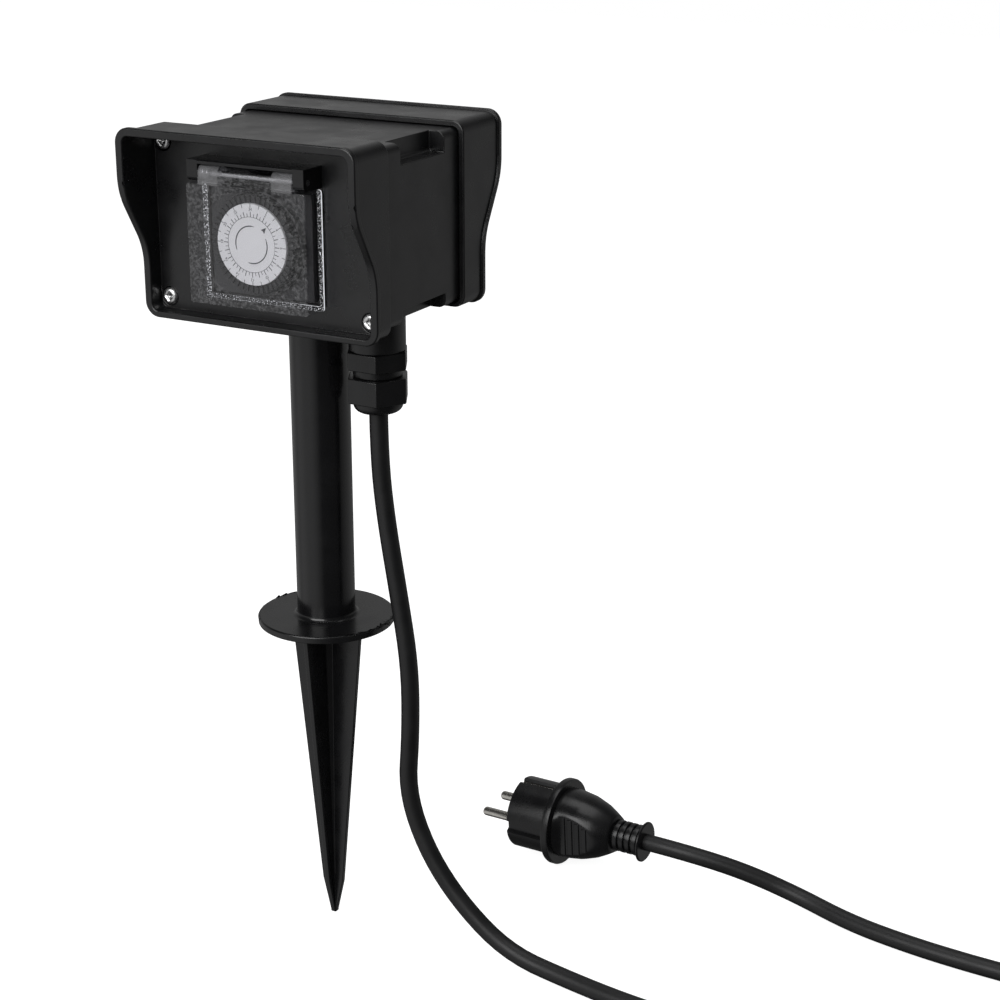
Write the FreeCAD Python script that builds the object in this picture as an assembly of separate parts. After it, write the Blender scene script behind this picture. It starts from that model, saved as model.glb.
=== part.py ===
import FreeCAD, Part
import math
import os

# Outdoor socket timer on a ground spike.
# Millimetres. X runs to the right along the front, Y to the back, Z up.
# The origin is the middle of the spike disc's underside, at ground level.

Vec = FreeCAD.Vector
ALONG_X = Vec(1, 0, 0)
ALONG_Y = Vec(0, 1, 0)
ALONG_Z = Vec(0, 0, 1)

# Covers: a front and a rear cover of the same form, each with a rain hood
cover_width = 124.2
cover_height = 87.5
cover_bottom_z = 157.5
cover_wall = 2.8
cover_floor_wall = 2.0
cover_corner_radius = 6.0
cover_rim_rounding = 0.8
rim_lip_stand = 1.1
rim_lip_length = 3.0
rim_top_reach = 65.0
rim_bottom_reach = 49.0
rim_curve_middle_z = 202.4
rim_curve_radius = 30.0
rim_curve_turn = 30.0
panel_reach = 41.0
panel_thickness = 2.5
front_skirt_depth = 5.4
rear_skirt_depth = 11.0
panel_opening_half_width = 27.3
panel_opening_bottom_z = 171.4
panel_opening_top_z = 220.2

# Screws that hold the covers
cover_screw_inset_side = 7.5
cover_screw_inset_height = 7.7
cover_screw_head_radius = 4.0
cover_screw_head_height = 2.2
cover_screw_head_rounding = 1.2
cover_screw_recess_radius = 4.5
cover_screw_recess_depth = 1.0
cover_screw_shank_radius = 1.95
cover_screw_reach = 22.0
screw_hole_clearance = 0.15
screw_slot_width = 0.9
screw_slot_depth = 1.1
screw_slot_share = 0.7

# Main box between the covers
box_lap_clearance = 0.4
box_corner_radius = 4.0
box_wall = 2.8
gasket_thickness = 1.0
pocket_front_y = -20.4
pocket_rear_y = 17.8
pocket_depth_side = 8.1
pocket_depth_top = 9.6
pocket_depth_bottom = 7.0
pocket_inner_radius = 2.0

# Cable gland under the box
gland_inset_side = 24.7
gland_y = -3.0
gland_boss_radius = 13.4
gland_boss_bottom_z = 142.3
gland_thread_radius = 10.0
gland_thread_length = 12.0
gland_hex_across_flats = 27.0
gland_hex_turn = 28.5
gland_hex_height = 8.6
gland_neck_radius = 11.6
gland_neck_height = 3.9
gland_nut_height = 12.1
gland_nut_end_height = 5.3
gland_nut_end_radius = 11.8
gland_nut_end_rounding = 4.0
gland_seal_radius = 8.2
gland_seal_length = 16.0
gland_ring_thickness = 1.0
gland_bore_clearance = 0.3

# Post, disc and ground spike
post_radius = 14.25
post_wall = 3.0
post_foot_flare = 2.4
post_cap_length = 12.0
post_screw_radius = 3.0
post_screw_head_radius = 5.5
post_screw_head_height = 4.0
disc_radius = 33.5
disc_thickness = 3.5
disc_edge_rounding = 1.0
spigot_length = 36.0
spigot_clearance = 0.2
spike_length = 162.7
spike_root_half_width = 20.2
spike_taper_end_depth = 144.0
spike_taper_end_half_width = 5.9
spike_tip_half_width = 1.4
spike_fin_thickness = 2.4
spike_core_root = 5.0
spike_core_end = 2.7
spike_core_depth = 140.0

# Hinged lids: a clear one at the timer, a black one at the rear socket
lid_half_width = 31.75
lid_bottom_z = 168.0
lid_top_z = 222.6
lid_stand = 15.0
lid_wall = 2.0
lid_top_wall_stand = 6.2
lid_corner_radius = 1.4
lid_inner_corner_radius = 0.6
lid_front_rounding = 0.6
lid_seal_thickness = 1.0
lid_seal_gap = 0.3
lid_seal_inset = 0.55
lid_seal_width = 2.0
lid_seal_corner_radius = 2.0
neck_thickness = 2.4
hinge_stand = 11.0
hinge_z = 227.0
barrel_radius = 4.0
barrel_half_length = 25.0
hinge_pin_radius = 1.5
hinge_running_fit = 0.06
ear_gap = 0.3
ear_rounding_radius = 3.9
bracket_half_width = 31.0
bracket_stand = 14.6
bracket_top_z = 233.0
bracket_top_clearance = 0.4
bracket_back_thickness = 2.0
bracket_bottom_gap = 0.5
bracket_edge_rounding = 0.6
spring_wire_radius = 0.35
spring_coil_radius = 2.5
spring_pitch = 1.2
spring_turns = 4
spring_pocket_radius = 3.15
spring_end_gap = 0.15

# Timer
dial_z = 196.7
dial_stand = 11.0
dial_radius = 18.5
dial_thickness = 1.6
tappet_count = 48
tappet_ring_radius = 22.2
tappet_ring_depth = 6.4
tappet_ring_bore = 12.0
tappet_ring_bore_sides = 24
tappet_width = 1.5
tappet_inner_radius = 18.9
tappet_outer_radius = 21.9
tappet_length = 5.2
tappet_stand = 1.0
tappet_travel = 1.2
tappet_side_clearance = 0.12
tappet_end_clearance = 0.2
drum_collar_clearance = 0.5
drum_collar_wall = 0.9
drum_collar_height = 4.0
timer_plate_gap = 0.3
timer_plate_stand = 2.5
timer_flange_width = 3.6
timer_flange_thickness = 2.0
timer_case_half_width = 26.0
timer_case_bottom_z = 172.0
timer_case_top_z = 219.6
timer_case_depth = 21.0
timer_case_wall = 1.6
frame_thickness = 1.5
frame_depth_in_case = 8.5
frame_clearance = 0.2
dial_shaft_radius = 3.0
dial_shaft_end_radius = 2.2
dial_shaft_hex = 4.6
gear_module = 0.7
gear_width = 3.4
dial_gear_teeth = 42
pinion_teeth = 14
gear_pressure_angle = 20.0
gear_addendum = 0.8
gear_dedendum = 1.15
gear_tooth_thinning = 0.14
gear_centre_extra = 0.05
gear_flank_points = 4
gear_plate_gap = 3.2
pinion_direction = -45.0
motor_radius = 8.0
motor_length = 9.0
motor_shaft_radius = 1.2
motor_shaft_hex = 2.0
running_fit = 0.05
switch_width = 16.0
switch_height = 9.0
switch_depth = 8.6
switch_centre_x = -10.0
switch_centre_z = 210.0

# Rear socket
socket_face_stand = 5.0
socket_well_radius = 19.75
socket_well_depth = 17.5
socket_well_wall = 2.6
socket_floor_thickness = 2.5
socket_pin_pitch = 19.0
socket_pin_hole_radius = 2.7
socket_key_width = 4.6
socket_key_height = 1.6
socket_contact_radius = 3.6
socket_contact_length = 12.0
socket_contact_bore = 2.55
socket_contact_depth = 10.8
earth_clip_width = 4.0
earth_clip_thickness = 0.8
earth_clip_stand = 0.4
earth_clip_front_gap = 3.0
earth_clip_rear_length = 9.0

# Terminals and wiring
terminal_count = 3
terminal_pitch = 9.0
terminal_block_depth = 12.0
terminal_block_height = 21.0
terminal_block_centre_x = -4.0
terminal_contact_gap = 5.0
terminal_screw_radius = 2.2
terminal_screw_depth = 6.6
terminal_screw_stand = 0.8
wire_radius = 1.1
wire_spread = 2.7
wire_entry_height = 14.5
wire_lane_shift = -0.75
wire_drop_share = 27 / 70
cord_end_stub = 6.0

# Cord, lying on the level of the spike's tip
cord_radius = 4.5
floor_z = -spike_length
cord_level_z = floor_z + cord_radius
coil_centre_x = 299.0
coil_centre_y = -60.0
coil_inner_radius = 36.4
coil_spacing = 9.6
coil_turns = 4.0
coil_climb_turns = 0.5
tie_thickness = 1.0
tie_clearance = 0.5
tie_width = 8.0
tie_corner_radius = 3.0
run_share = 0.45
coil_lead_straight = 24.0
coil_tail_straight = 31.0
plug_cord_straight = 22.0

# Plug at the cord's far end, in its own frame: +Z points from the cord to the pins
plug_origin = Vec(77.4, 105.1, -139.2)
plug_rear = Vec(128.9, 103.3, -138.8)
plug_roll = 3.8
plug_flange_radius = 23.4
plug_flange_thickness = 4.2
plug_front_radius = 19.2
plug_front_length = 23.2
plug_nose_taper = 0.8
plug_grip_radius = 18.8
plug_grip_length = 31.0
plug_grip_middle_share = 0.45
plug_grip_middle_radius = 17.3
plug_grip_end_radius = 9.2
plug_grip_side = 14.0
plug_key_half_width = 2.8
plug_key_cut = 2.4
plug_pin_radius = 2.4
plug_pin_pitch = 19.0
plug_pin_length = 19.0
plug_pin_seat = 8.0
plug_pin_seat_radius = 2.0
plug_pin_rounding = 1.2
earth_strip_width = 4.4
earth_strip_thickness = 0.8
relief_flange_radius = 10.7
relief_flange_thickness = 1.6
relief_radius = 8.3
relief_ring_count = 4
relief_ring_gap_depth = 1.3
relief_ring_gap = 1.4

# Levels and places that follow from the sizes above
cover_half_width = cover_width / 2
cover_top_z = cover_bottom_z + cover_height
hood_half_width = cover_half_width - cover_wall
hood_top_z = cover_top_z - cover_wall
hood_bottom_z = cover_bottom_z + cover_floor_wall
hood_corner_radius = cover_corner_radius - cover_wall
panel_back_reach = panel_reach - panel_thickness
box_half_width = hood_half_width - box_lap_clearance
box_top_z = hood_top_z - box_lap_clearance
box_bottom_z = hood_bottom_z + box_lap_clearance
box_end_reach = panel_back_reach - gasket_thickness
box_floor_z = box_bottom_z + box_wall
screw_half_span = cover_half_width - cover_screw_inset_side
screw_low_z = cover_bottom_z + cover_screw_inset_height
screw_high_z = cover_top_z - cover_screw_inset_height
screw_seat_reach = panel_reach - cover_screw_recess_depth
front_skirt_reach = panel_reach - front_skirt_depth
rear_skirt_reach = panel_reach - rear_skirt_depth
lid_front_reach = panel_reach + lid_stand
lid_top_wall_reach = panel_reach + lid_top_wall_stand
hinge_reach = panel_reach + hinge_stand
bracket_front_reach = panel_reach + bracket_stand
dial_reach = panel_reach + dial_stand
socket_face_reach = panel_reach + socket_face_stand
lid_rim_reach = panel_reach + lid_seal_thickness + lid_seal_gap
bracket_bottom_z = lid_top_z + bracket_bottom_gap
bracket_plate_bottom_z = hinge_z + barrel_radius + bracket_top_clearance
ear_inner_x = barrel_half_length + ear_gap
spring_length = spring_pitch * spring_turns + 2 * spring_wire_radius
spring_pocket_end_x = -barrel_half_length - ear_gap + spring_length + 2 * spring_end_gap
dial_back_reach = dial_reach - dial_thickness
timer_plate_reach = panel_reach + timer_plate_stand
plate_half_width = panel_opening_half_width - timer_plate_gap
plate_bottom_z = panel_opening_bottom_z + timer_plate_gap
plate_top_z = panel_opening_top_z - timer_plate_gap
plate_back_reach = panel_back_reach - timer_flange_thickness
case_back_reach = plate_back_reach - timer_case_depth
contact_end_reach = socket_face_reach - socket_well_depth - socket_floor_thickness - socket_contact_length
terminal_block_centre_y = contact_end_reach - terminal_contact_gap - terminal_block_depth / 2
frame_front_reach = plate_back_reach - frame_depth_in_case
gear_back_reach = frame_front_reach + gear_plate_gap - gear_width / 2
gear_front_reach = gear_back_reach + gear_width
gear_centre_distance = gear_module * (dial_gear_teeth + pinion_teeth) / 2 + gear_centre_extra
motor_x = gear_centre_distance * math.cos(math.radians(pinion_direction))
motor_z = dial_z + gear_centre_distance * math.sin(math.radians(pinion_direction))
gland_x = box_half_width - gland_inset_side
gland_hex_bottom_z = gland_boss_bottom_z - gland_hex_height
gland_neck_bottom_z = gland_hex_bottom_z - gland_neck_height
gland_nut_bottom_z = gland_neck_bottom_z - gland_nut_height
gland_exit_z = gland_nut_bottom_z - gland_nut_end_height
gland_centre = Vec(gland_x, gland_y, 0)


def block(x0, x1, y0, y1, z0, z1):
    """A box between two corners."""
    return Part.makeBox(x1 - x0, y1 - y0, z1 - z0, Vec(x0, y0, z0))


def rod(radius, start, direction, length):
    """A round bar from a point along a direction."""
    return Part.makeCylinder(radius, length, start, direction)


def edges_parallel(shape, direction):
    """The straight edges of a shape that run along a direction."""
    found = []
    for edge in shape.Edges:
        if isinstance(edge.Curve, Part.Line):
            heading = edge.tangentAt(edge.FirstParameter)
            if heading.cross(direction).Length < 1e-6:
                found.append(edge)
    return found


def edges_at_y(shape, y):
    """The edges of a shape that lie wholly in the plane at y."""
    return [e for e in shape.Edges if abs(e.BoundBox.YMin - y) < 1e-5 and abs(e.BoundBox.YMax - y) < 1e-5]


def rounded_block(x0, x1, y0, y1, z0, z1, radius):
    """A box whose four edges along Y are rounded."""
    raw = block(x0, x1, y0, y1, z0, z1)
    return raw.makeFillet(radius, edges_parallel(raw, ALONG_Y))


def polygon_prism(points, start, length_vector):
    """A prism of a closed polygon of points, all shifted by start."""
    corners = [start + p for p in points]
    face = Part.Face(Part.makePolygon(corners + [corners[0]]))
    return face.extrude(length_vector)


def ring_polygon(count, radius, turn=0.0):
    """Corners of a regular polygon in the plane of the dial."""
    corners = []
    for index in range(count):
        angle = math.radians(turn) + 2 * math.pi * index / count
        corners.append(Vec(radius * math.cos(angle), 0, radius * math.sin(angle)))
    return corners


def hexagon_radius(across_flats):
    """Corner radius of a hexagon from its size across flats."""
    return across_flats / 2 / math.cos(math.pi / 6)


def to_rear(shape):
    """The same piece on the rear side of the box, turned about the post."""
    turned = shape.copy()
    turned.rotate(Vec(0, 0, 0), ALONG_Z, 180)
    return turned


def screw_places():
    """The corners at which the covers are screwed on, as (x, z)."""
    return [(side * screw_half_span, z) for side in (-1, 1) for z in (screw_low_z, screw_high_z)]


def corner_arc(start, corner, end):
    """The arc from start to end that touches both legs of a corner."""
    middle = (start + end) / 2
    leg = start.distanceToPoint(corner)
    half_angle = math.asin(min(1.0, start.distanceToPoint(middle) / leg))
    radius = leg * math.tan(half_angle)
    inward = (middle - corner).normalize()
    centre = corner + inward * (leg / math.cos(half_angle))
    return Part.Arc(start, centre - inward * radius, end).toShape()


def biarc(p0, t0, p1, t1):
    """Two arcs that join two points with given directions."""
    chord = p1 - p0
    both = t0 + t1
    share = 2 * (1 - t0.dot(t1))
    reach = (-chord.dot(both) + math.sqrt(chord.dot(both) ** 2 + share * chord.dot(chord))) / share
    q0 = p0 + t0 * reach
    q1 = p1 - t1 * reach
    joint = (q0 + q1) / 2
    return [corner_arc(p0, q0, joint), corner_arc(joint, q1, p1)]


def sweep_round(edges, radius):
    """A round tube along a smooth chain of edges."""
    path = Part.Wire(edges)
    first = path.Edges[0]
    begin = first.valueAt(first.FirstParameter)
    heading = first.tangentAt(first.FirstParameter)
    ring = Part.Wire(Part.makeCircle(radius, begin, heading))
    return path.makePipeShell([ring], True, False)


def cord_tube(name, points, radius):
    """A cord along straight runs joined by arcs as large as the runs allow."""
    edges = []
    radii = []
    last = points[0]
    for before, corner, after in zip(points, points[1:], points[2:]):
        shorter = min(corner.distanceToPoint(before), corner.distanceToPoint(after))
        inward = (before - corner).normalize()
        onward = (after - corner).normalize()
        begin = corner + inward * (run_share * shorter)
        end = corner + onward * (run_share * shorter)
        half_turn = math.acos(max(-1.0, min(1.0, -inward.dot(onward)))) / 2
        radii.append(run_share * shorter / math.tan(half_turn))
        edges.append(Part.makeLine(last, begin))
        edges.append(corner_arc(begin, corner, end))
        last = end
    edges.append(Part.makeLine(last, points[-1]))
    tube = sweep_round(edges, radius)
    length = sum(edge.Length for edge in edges)
    ratio = tube.Volume / (math.pi * radius ** 2 * length)
    print(name, "length", round(length, 1), "radii", [round(r) for r in radii])
    print(name, "volume ratio", round(ratio, 4))
    return tube


def rim_ends():
    """Levels at which the rim's sweep begins at the top and ends at the bottom."""
    turn = math.radians(rim_curve_turn)
    arc_set = rim_curve_radius * (1 - math.cos(turn))
    straight = (rim_top_reach - rim_bottom_reach - 2 * arc_set) / math.sin(turn)
    half_height = rim_curve_radius * math.sin(turn) + straight * math.cos(turn) / 2
    return rim_curve_middle_z + half_height, rim_curve_middle_z - half_height


def rim_reach(z):
    """How far the rim stands from the middle of the box at a level."""
    turn = math.radians(rim_curve_turn)
    top_z, bottom_z = rim_ends()
    bend = rim_curve_radius * math.sin(turn)
    if z > top_z - bend:
        angle = math.asin(max(0.0, top_z - z) / rim_curve_radius)
        return rim_top_reach - rim_curve_radius * (1 - math.cos(angle))
    if z < bottom_z + bend:
        angle = math.asin(max(0.0, z - bottom_z) / rim_curve_radius)
        return rim_bottom_reach + rim_curve_radius * (1 - math.cos(angle))
    arc_set = rim_curve_radius * (1 - math.cos(turn))
    return rim_top_reach - arc_set - (top_z - bend - z) * math.tan(turn)


def rim_edges(shape):
    """The outer and inner edges of a cover's rim, without the short ones across its wall."""
    found = []
    for edge in shape.Edges:
        span = edge.LastParameter - edge.FirstParameter
        points = [edge.valueAt(edge.FirstParameter + span * step / 4) for step in range(5)]
        short = points[0].distanceToPoint(points[4]) < cover_wall + rim_lip_stand + 1e-3
        across = short and abs(points[0].z - points[4].z) < 1e-6
        if not across and all(abs(-point.y - rim_reach(point.z)) < 1e-3 for point in points):
            found.append(edge)
    return found


def rim_cutter():
    """What the sweeping rim line takes off the front of a cover."""
    turn = math.radians(rim_curve_turn)
    top_z, bottom_z = rim_ends()

    def upper(angle):
        reach = rim_top_reach - rim_curve_radius * (1 - math.cos(angle))
        return Vec(0, -reach, top_z - rim_curve_radius * math.sin(angle))

    def lower(angle):
        reach = rim_bottom_reach + rim_curve_radius * (1 - math.cos(angle))
        return Vec(0, -reach, bottom_z + rim_curve_radius * math.sin(angle))

    beyond = -rim_top_reach - cover_wall
    below = cover_bottom_z - cover_wall
    edges = [
        Part.Arc(upper(0), upper(turn / 2), upper(turn)).toShape(),
        Part.makeLine(upper(turn), lower(turn)),
        Part.Arc(lower(turn), lower(turn / 2), lower(0)).toShape(),
        Part.makeLine(lower(0), Vec(0, -rim_bottom_reach, below)),
        Part.makeLine(Vec(0, -rim_bottom_reach, below), Vec(0, beyond, below)),
        Part.makeLine(Vec(0, beyond, below), Vec(0, beyond, top_z)),
        Part.makeLine(Vec(0, beyond, top_z), upper(0)),
    ]
    face = Part.Face(Part.Wire(edges))
    face.translate(Vec(-cover_width, 0, 0))
    return face.extrude(Vec(2 * cover_width, 0, 0))


def rim_lip():
    """The raised lip that follows a cover's rim all round its outside, before the rim is cut."""
    half = cover_half_width + rim_lip_stand
    low = cover_bottom_z - rim_lip_stand
    high = cover_top_z + rim_lip_stand
    back = -rim_top_reach + rim_lip_length
    outer = rounded_block(-half, half, -rim_top_reach, -panel_reach, low, high,
                          cover_corner_radius + rim_lip_stand)
    shifted = rim_cutter()
    shifted.translate(Vec(0, rim_lip_length, 0))
    behind = block(-cover_width, cover_width, back, 0,
                   cover_bottom_z - cover_wall, cover_top_z + cover_wall)
    return outer.cut(behind.cut(shifted))


def cover(skirt_reach):
    """A cover with its rain hood, panel and skirt, on the front side."""
    outer = rounded_block(-cover_half_width, cover_half_width, -rim_top_reach, -skirt_reach,
                          cover_bottom_z, cover_top_z, cover_corner_radius)
    outer = outer.makeFillet(cover_rim_rounding, edges_at_y(outer, -skirt_reach))
    shell = outer.fuse(rim_lip()).cut(rim_cutter())
    shell = shell.cut(rounded_block(-hood_half_width, hood_half_width,
                                    -rim_top_reach - cover_wall, -panel_reach,
                                    hood_bottom_z, hood_top_z, hood_corner_radius))
    shell = shell.makeFillet(cover_rim_rounding, rim_edges(shell))
    shell = shell.cut(rounded_block(-hood_half_width, hood_half_width, -panel_back_reach,
                                    -skirt_reach + cover_wall, hood_bottom_z, hood_top_z, hood_corner_radius))
    shell = shell.cut(block(-panel_opening_half_width, panel_opening_half_width, -panel_reach - cover_wall,
                            -skirt_reach, panel_opening_bottom_z, panel_opening_top_z))
    for x, z in screw_places():
        shell = shell.cut(rod(cover_screw_recess_radius, Vec(x, -screw_seat_reach, z), -ALONG_Y, cover_wall))
        shell = shell.cut(rod(cover_screw_shank_radius + screw_hole_clearance, Vec(x, -panel_back_reach, z),
                              -ALONG_Y, panel_thickness))
    return shell


def cover_screws():
    """Four pan head screws with crossed slots, as one group."""
    screws = []
    for x, z in screw_places():
        seat = Vec(x, -screw_seat_reach, z)
        head = rod(cover_screw_head_radius, seat, -ALONG_Y, cover_screw_head_height)
        front = -screw_seat_reach - cover_screw_head_height
        head = head.makeFillet(cover_screw_head_rounding, edges_at_y(head, front))
        screw = head.fuse(rod(cover_screw_shank_radius, seat, ALONG_Y, screw_seat_reach - cover_screw_reach))
        half = cover_screw_head_radius * screw_slot_share
        for long_x, long_z in ((half, screw_slot_width / 2), (screw_slot_width / 2, half)):
            screw = screw.cut(block(x - long_x, x + long_x, front, front + screw_slot_depth,
                                    z - long_z, z + long_z))
        screws.append(screw)
    return Part.makeCompound(screws)


def box_outline(y0, y1):
    """The full outline of the main box between two places in depth."""
    return rounded_block(-box_half_width, box_half_width, y0, y1, box_bottom_z, box_top_z, box_corner_radius)


def box_cavity(y0, y1):
    """The hollow of the main box, which leaves room for the corner pockets and screws."""
    side = box_half_width - box_wall
    hollow = block(-side, side, y0, y1, box_bottom_z + box_wall, box_top_z - box_wall)
    corner_x = box_half_width - pocket_depth_side - box_wall
    top = box_top_z - pocket_depth_top - box_wall
    bottom = box_bottom_z + pocket_depth_bottom + box_wall
    for sign in (-1, 1):
        x0, x1 = sorted((sign * corner_x, sign * cover_width))
        hollow = hollow.cut(block(x0, x1, y0, y1, top, cover_top_z))
        hollow = hollow.cut(block(x0, x1, y0, y1, cover_bottom_z, bottom))
    return hollow


def corner_pocket(sign, z0, z1):
    """The hollow cut into one long edge of the box, its inner edge rounded."""
    x0, x1 = sorted((sign * (box_half_width - pocket_depth_side), sign * cover_width))
    cut = block(x0, x1, pocket_front_y, pocket_rear_y, z0, z1)
    inner_z = z0 if z1 > cover_top_z else z1
    inner = []
    for edge in edges_parallel(cut, ALONG_Y):
        middle = edge.CenterOfMass
        at_side = abs(abs(middle.x) - (box_half_width - pocket_depth_side)) < 1e-6
        if at_side and abs(middle.z - inner_z) < 1e-6:
            inner.append(edge)
    return cut.makeFillet(pocket_inner_radius, inner)


def main_body():
    """The box between the covers, with corner pockets and the gland's boss."""
    body = box_outline(-box_end_reach, box_end_reach).cut(box_cavity(-cover_width, cover_width))
    for sign in (-1, 1):
        body = body.cut(corner_pocket(sign, box_top_z - pocket_depth_top, cover_top_z + cover_wall))
        body = body.cut(corner_pocket(sign, cover_bottom_z - cover_wall, box_bottom_z + pocket_depth_bottom))
    boss_start = gland_centre + ALONG_Z * gland_boss_bottom_z
    body = body.fuse(rod(gland_boss_radius, boss_start, ALONG_Z, box_floor_z - gland_boss_bottom_z))
    body = body.cut(rod(gland_thread_radius, boss_start, ALONG_Z, box_floor_z - gland_boss_bottom_z))
    body = body.cut(rod(post_screw_radius, Vec(0, 0, box_bottom_z), ALONG_Z, box_wall))
    for x, z in screw_places():
        depth = box_end_reach - cover_screw_reach
        body = body.cut(rod(cover_screw_shank_radius, Vec(x, -box_end_reach, z), ALONG_Y, depth))
        body = body.cut(rod(cover_screw_shank_radius, Vec(x, box_end_reach, z), -ALONG_Y, depth))
    return body.removeSplitter()


def box_gasket():
    """The flat seal between the box and the front cover."""
    gasket = box_outline(-panel_back_reach, -box_end_reach).cut(box_cavity(-cover_width, cover_width))
    for x, z in screw_places():
        gasket = gasket.cut(rod(cover_screw_shank_radius + screw_hole_clearance, Vec(x, -panel_back_reach, z),
                                ALONG_Y, gasket_thickness))
    return gasket


def hinge_bracket():
    """The bracket on the panel that carries a lid's pin between two ears."""
    top = block(-bracket_half_width, bracket_half_width, -bracket_front_reach, -panel_reach,
                bracket_plate_bottom_z, bracket_top_z)
    front_edge = [e for e in edges_parallel(top, ALONG_X)
                  if e.CenterOfMass.y < -panel_reach - 1 and e.CenterOfMass.z > bracket_top_z - 1e-6]
    top = top.makeFillet(bracket_edge_rounding, front_edge)
    back = block(-bracket_half_width, bracket_half_width, -panel_reach - bracket_back_thickness, -panel_reach,
                 bracket_bottom_z, bracket_top_z)
    bracket = top.fuse(back)
    axis_y = -hinge_reach
    for sign in (-1, 1):
        x0, x1 = sorted((sign * ear_inner_x, sign * bracket_half_width))
        ear = block(x0, x1, axis_y, -panel_reach, bracket_bottom_z, bracket_top_z)
        ear = ear.fuse(block(x0, x1, -bracket_front_reach, axis_y, hinge_z, bracket_top_z))
        lower_front = rod(ear_rounding_radius, Vec(x0, axis_y, hinge_z), ALONG_X, x1 - x0)
        ear = ear.fuse(lower_front.common(block(x0, x1, -bracket_front_reach, -panel_reach,
                                                bracket_bottom_z, bracket_top_z)))
        bracket = bracket.fuse(ear)
    bracket = bracket.cut(rod(hinge_pin_radius, Vec(-bracket_half_width, axis_y, hinge_z), ALONG_X,
                              2 * bracket_half_width))
    return bracket.removeSplitter()


def hinge_pin():
    """The steel pin through both ears of a bracket."""
    start = Vec(-bracket_half_width, -hinge_reach, hinge_z)
    return rod(hinge_pin_radius, start, ALONG_X, 2 * bracket_half_width)


def lid_spring():
    """The closing spring that is wound round the pin in the end of a lid's barrel."""
    start_x = -ear_inner_x + spring_end_gap + spring_wire_radius
    places = []
    for quarter in range(4 * spring_turns + 1):
        angle = quarter * math.pi / 2
        place = Vec(start_x + spring_pitch * quarter / 4,
                    -hinge_reach + spring_coil_radius * math.cos(angle),
                    hinge_z + spring_coil_radius * math.sin(angle))
        heading = Vec(spring_pitch / (2 * math.pi), -spring_coil_radius * math.sin(angle),
                      spring_coil_radius * math.cos(angle)).normalize()
        places.append((place, heading))
    edges = []
    for (p0, t0), (p1, t1) in zip(places, places[1:]):
        edges.extend(biarc(p0, t0, p1, t1))
    return sweep_round(edges, spring_wire_radius)


def lid():
    """A lid like a shallow box, with a neck and a barrel that turns on the pin."""
    rim = -lid_rim_reach
    outer = rounded_block(-lid_half_width, lid_half_width, -lid_front_reach, rim, lid_bottom_z, lid_top_z,
                          lid_corner_radius)
    outer = outer.makeFillet(lid_front_rounding, edges_at_y(outer, -lid_front_reach))
    inner_x = lid_half_width - lid_wall
    inner = rounded_block(-inner_x, inner_x, -lid_front_reach + lid_wall, rim + lid_wall,
                          lid_bottom_z + lid_wall, lid_top_z - lid_wall, lid_inner_corner_radius)
    neck = block(-barrel_half_length, barrel_half_length, -lid_front_reach, -lid_front_reach + neck_thickness,
                 lid_top_z - lid_wall, hinge_z)
    barrel_start = Vec(-barrel_half_length, -hinge_reach, hinge_z)
    barrel = rod(barrel_radius, barrel_start, ALONG_X, 2 * barrel_half_length)
    swing_room = block(-inner_x, inner_x, -lid_top_wall_reach, rim + lid_wall,
                       lid_top_z - 2 * lid_wall, hinge_z)
    shape = outer.cut(inner).cut(swing_room).fuse(neck).fuse(barrel)
    bore_radius = hinge_pin_radius + hinge_running_fit
    shape = shape.cut(rod(bore_radius, barrel_start, ALONG_X, 2 * barrel_half_length))
    pocket_length = spring_pocket_end_x + barrel_half_length
    shape = shape.cut(rod(spring_pocket_radius, barrel_start, ALONG_X, pocket_length))
    return shape.removeSplitter()


def lid_seal():
    """The soft frame on the panel that a lid closes on."""
    reach = panel_reach + lid_seal_thickness
    half = lid_half_width - lid_seal_inset
    low = lid_bottom_z + lid_seal_inset
    high = lid_top_z - lid_seal_inset
    outer = rounded_block(-half, half, -reach, -panel_reach, low, high, lid_seal_corner_radius)
    inner = block(-half + lid_seal_width, half - lid_seal_width, -reach, -panel_reach,
                  low + lid_seal_width, high - lid_seal_width)
    return outer.cut(inner)


def opening_plate(front_reach):
    """A plate that fills the panel's opening, with a flange behind the panel."""
    plate = block(-plate_half_width, plate_half_width, -front_reach, -panel_back_reach,
                  plate_bottom_z, plate_top_z)
    flange = block(-plate_half_width - timer_flange_width, plate_half_width + timer_flange_width,
                   -panel_back_reach, -plate_back_reach,
                   plate_bottom_z - timer_flange_width, plate_top_z + timer_flange_width)
    return plate.fuse(flange).removeSplitter()


def timer_plate():
    """The timer's front plate with the collar in which the tappet ring turns."""
    plate = opening_plate(timer_plate_reach)
    centre = Vec(0, -timer_plate_reach, dial_z)
    inner = tappet_ring_radius + drum_collar_clearance
    collar = rod(inner + drum_collar_wall, centre, -ALONG_Y, drum_collar_height)
    collar = collar.cut(rod(inner, centre, -ALONG_Y, drum_collar_height))
    collar = collar.common(block(-plate_half_width, plate_half_width, -lid_front_reach, -panel_reach,
                                 plate_bottom_z, plate_top_z))
    plate = plate.fuse(collar)
    return plate.cut(rod(dial_shaft_radius + running_fit, centre, ALONG_Y, panel_reach))


def timer_case():
    """The timer's case behind the panel, open to the front."""
    outer = rounded_block(-timer_case_half_width, timer_case_half_width, -plate_back_reach, -case_back_reach,
                          timer_case_bottom_z, timer_case_top_z, timer_case_wall)
    return outer.cut(block(-timer_case_half_width + timer_case_wall, timer_case_half_width - timer_case_wall,
                           -plate_back_reach, -case_back_reach - timer_case_wall,
                           timer_case_bottom_z + timer_case_wall, timer_case_top_z - timer_case_wall))


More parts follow.
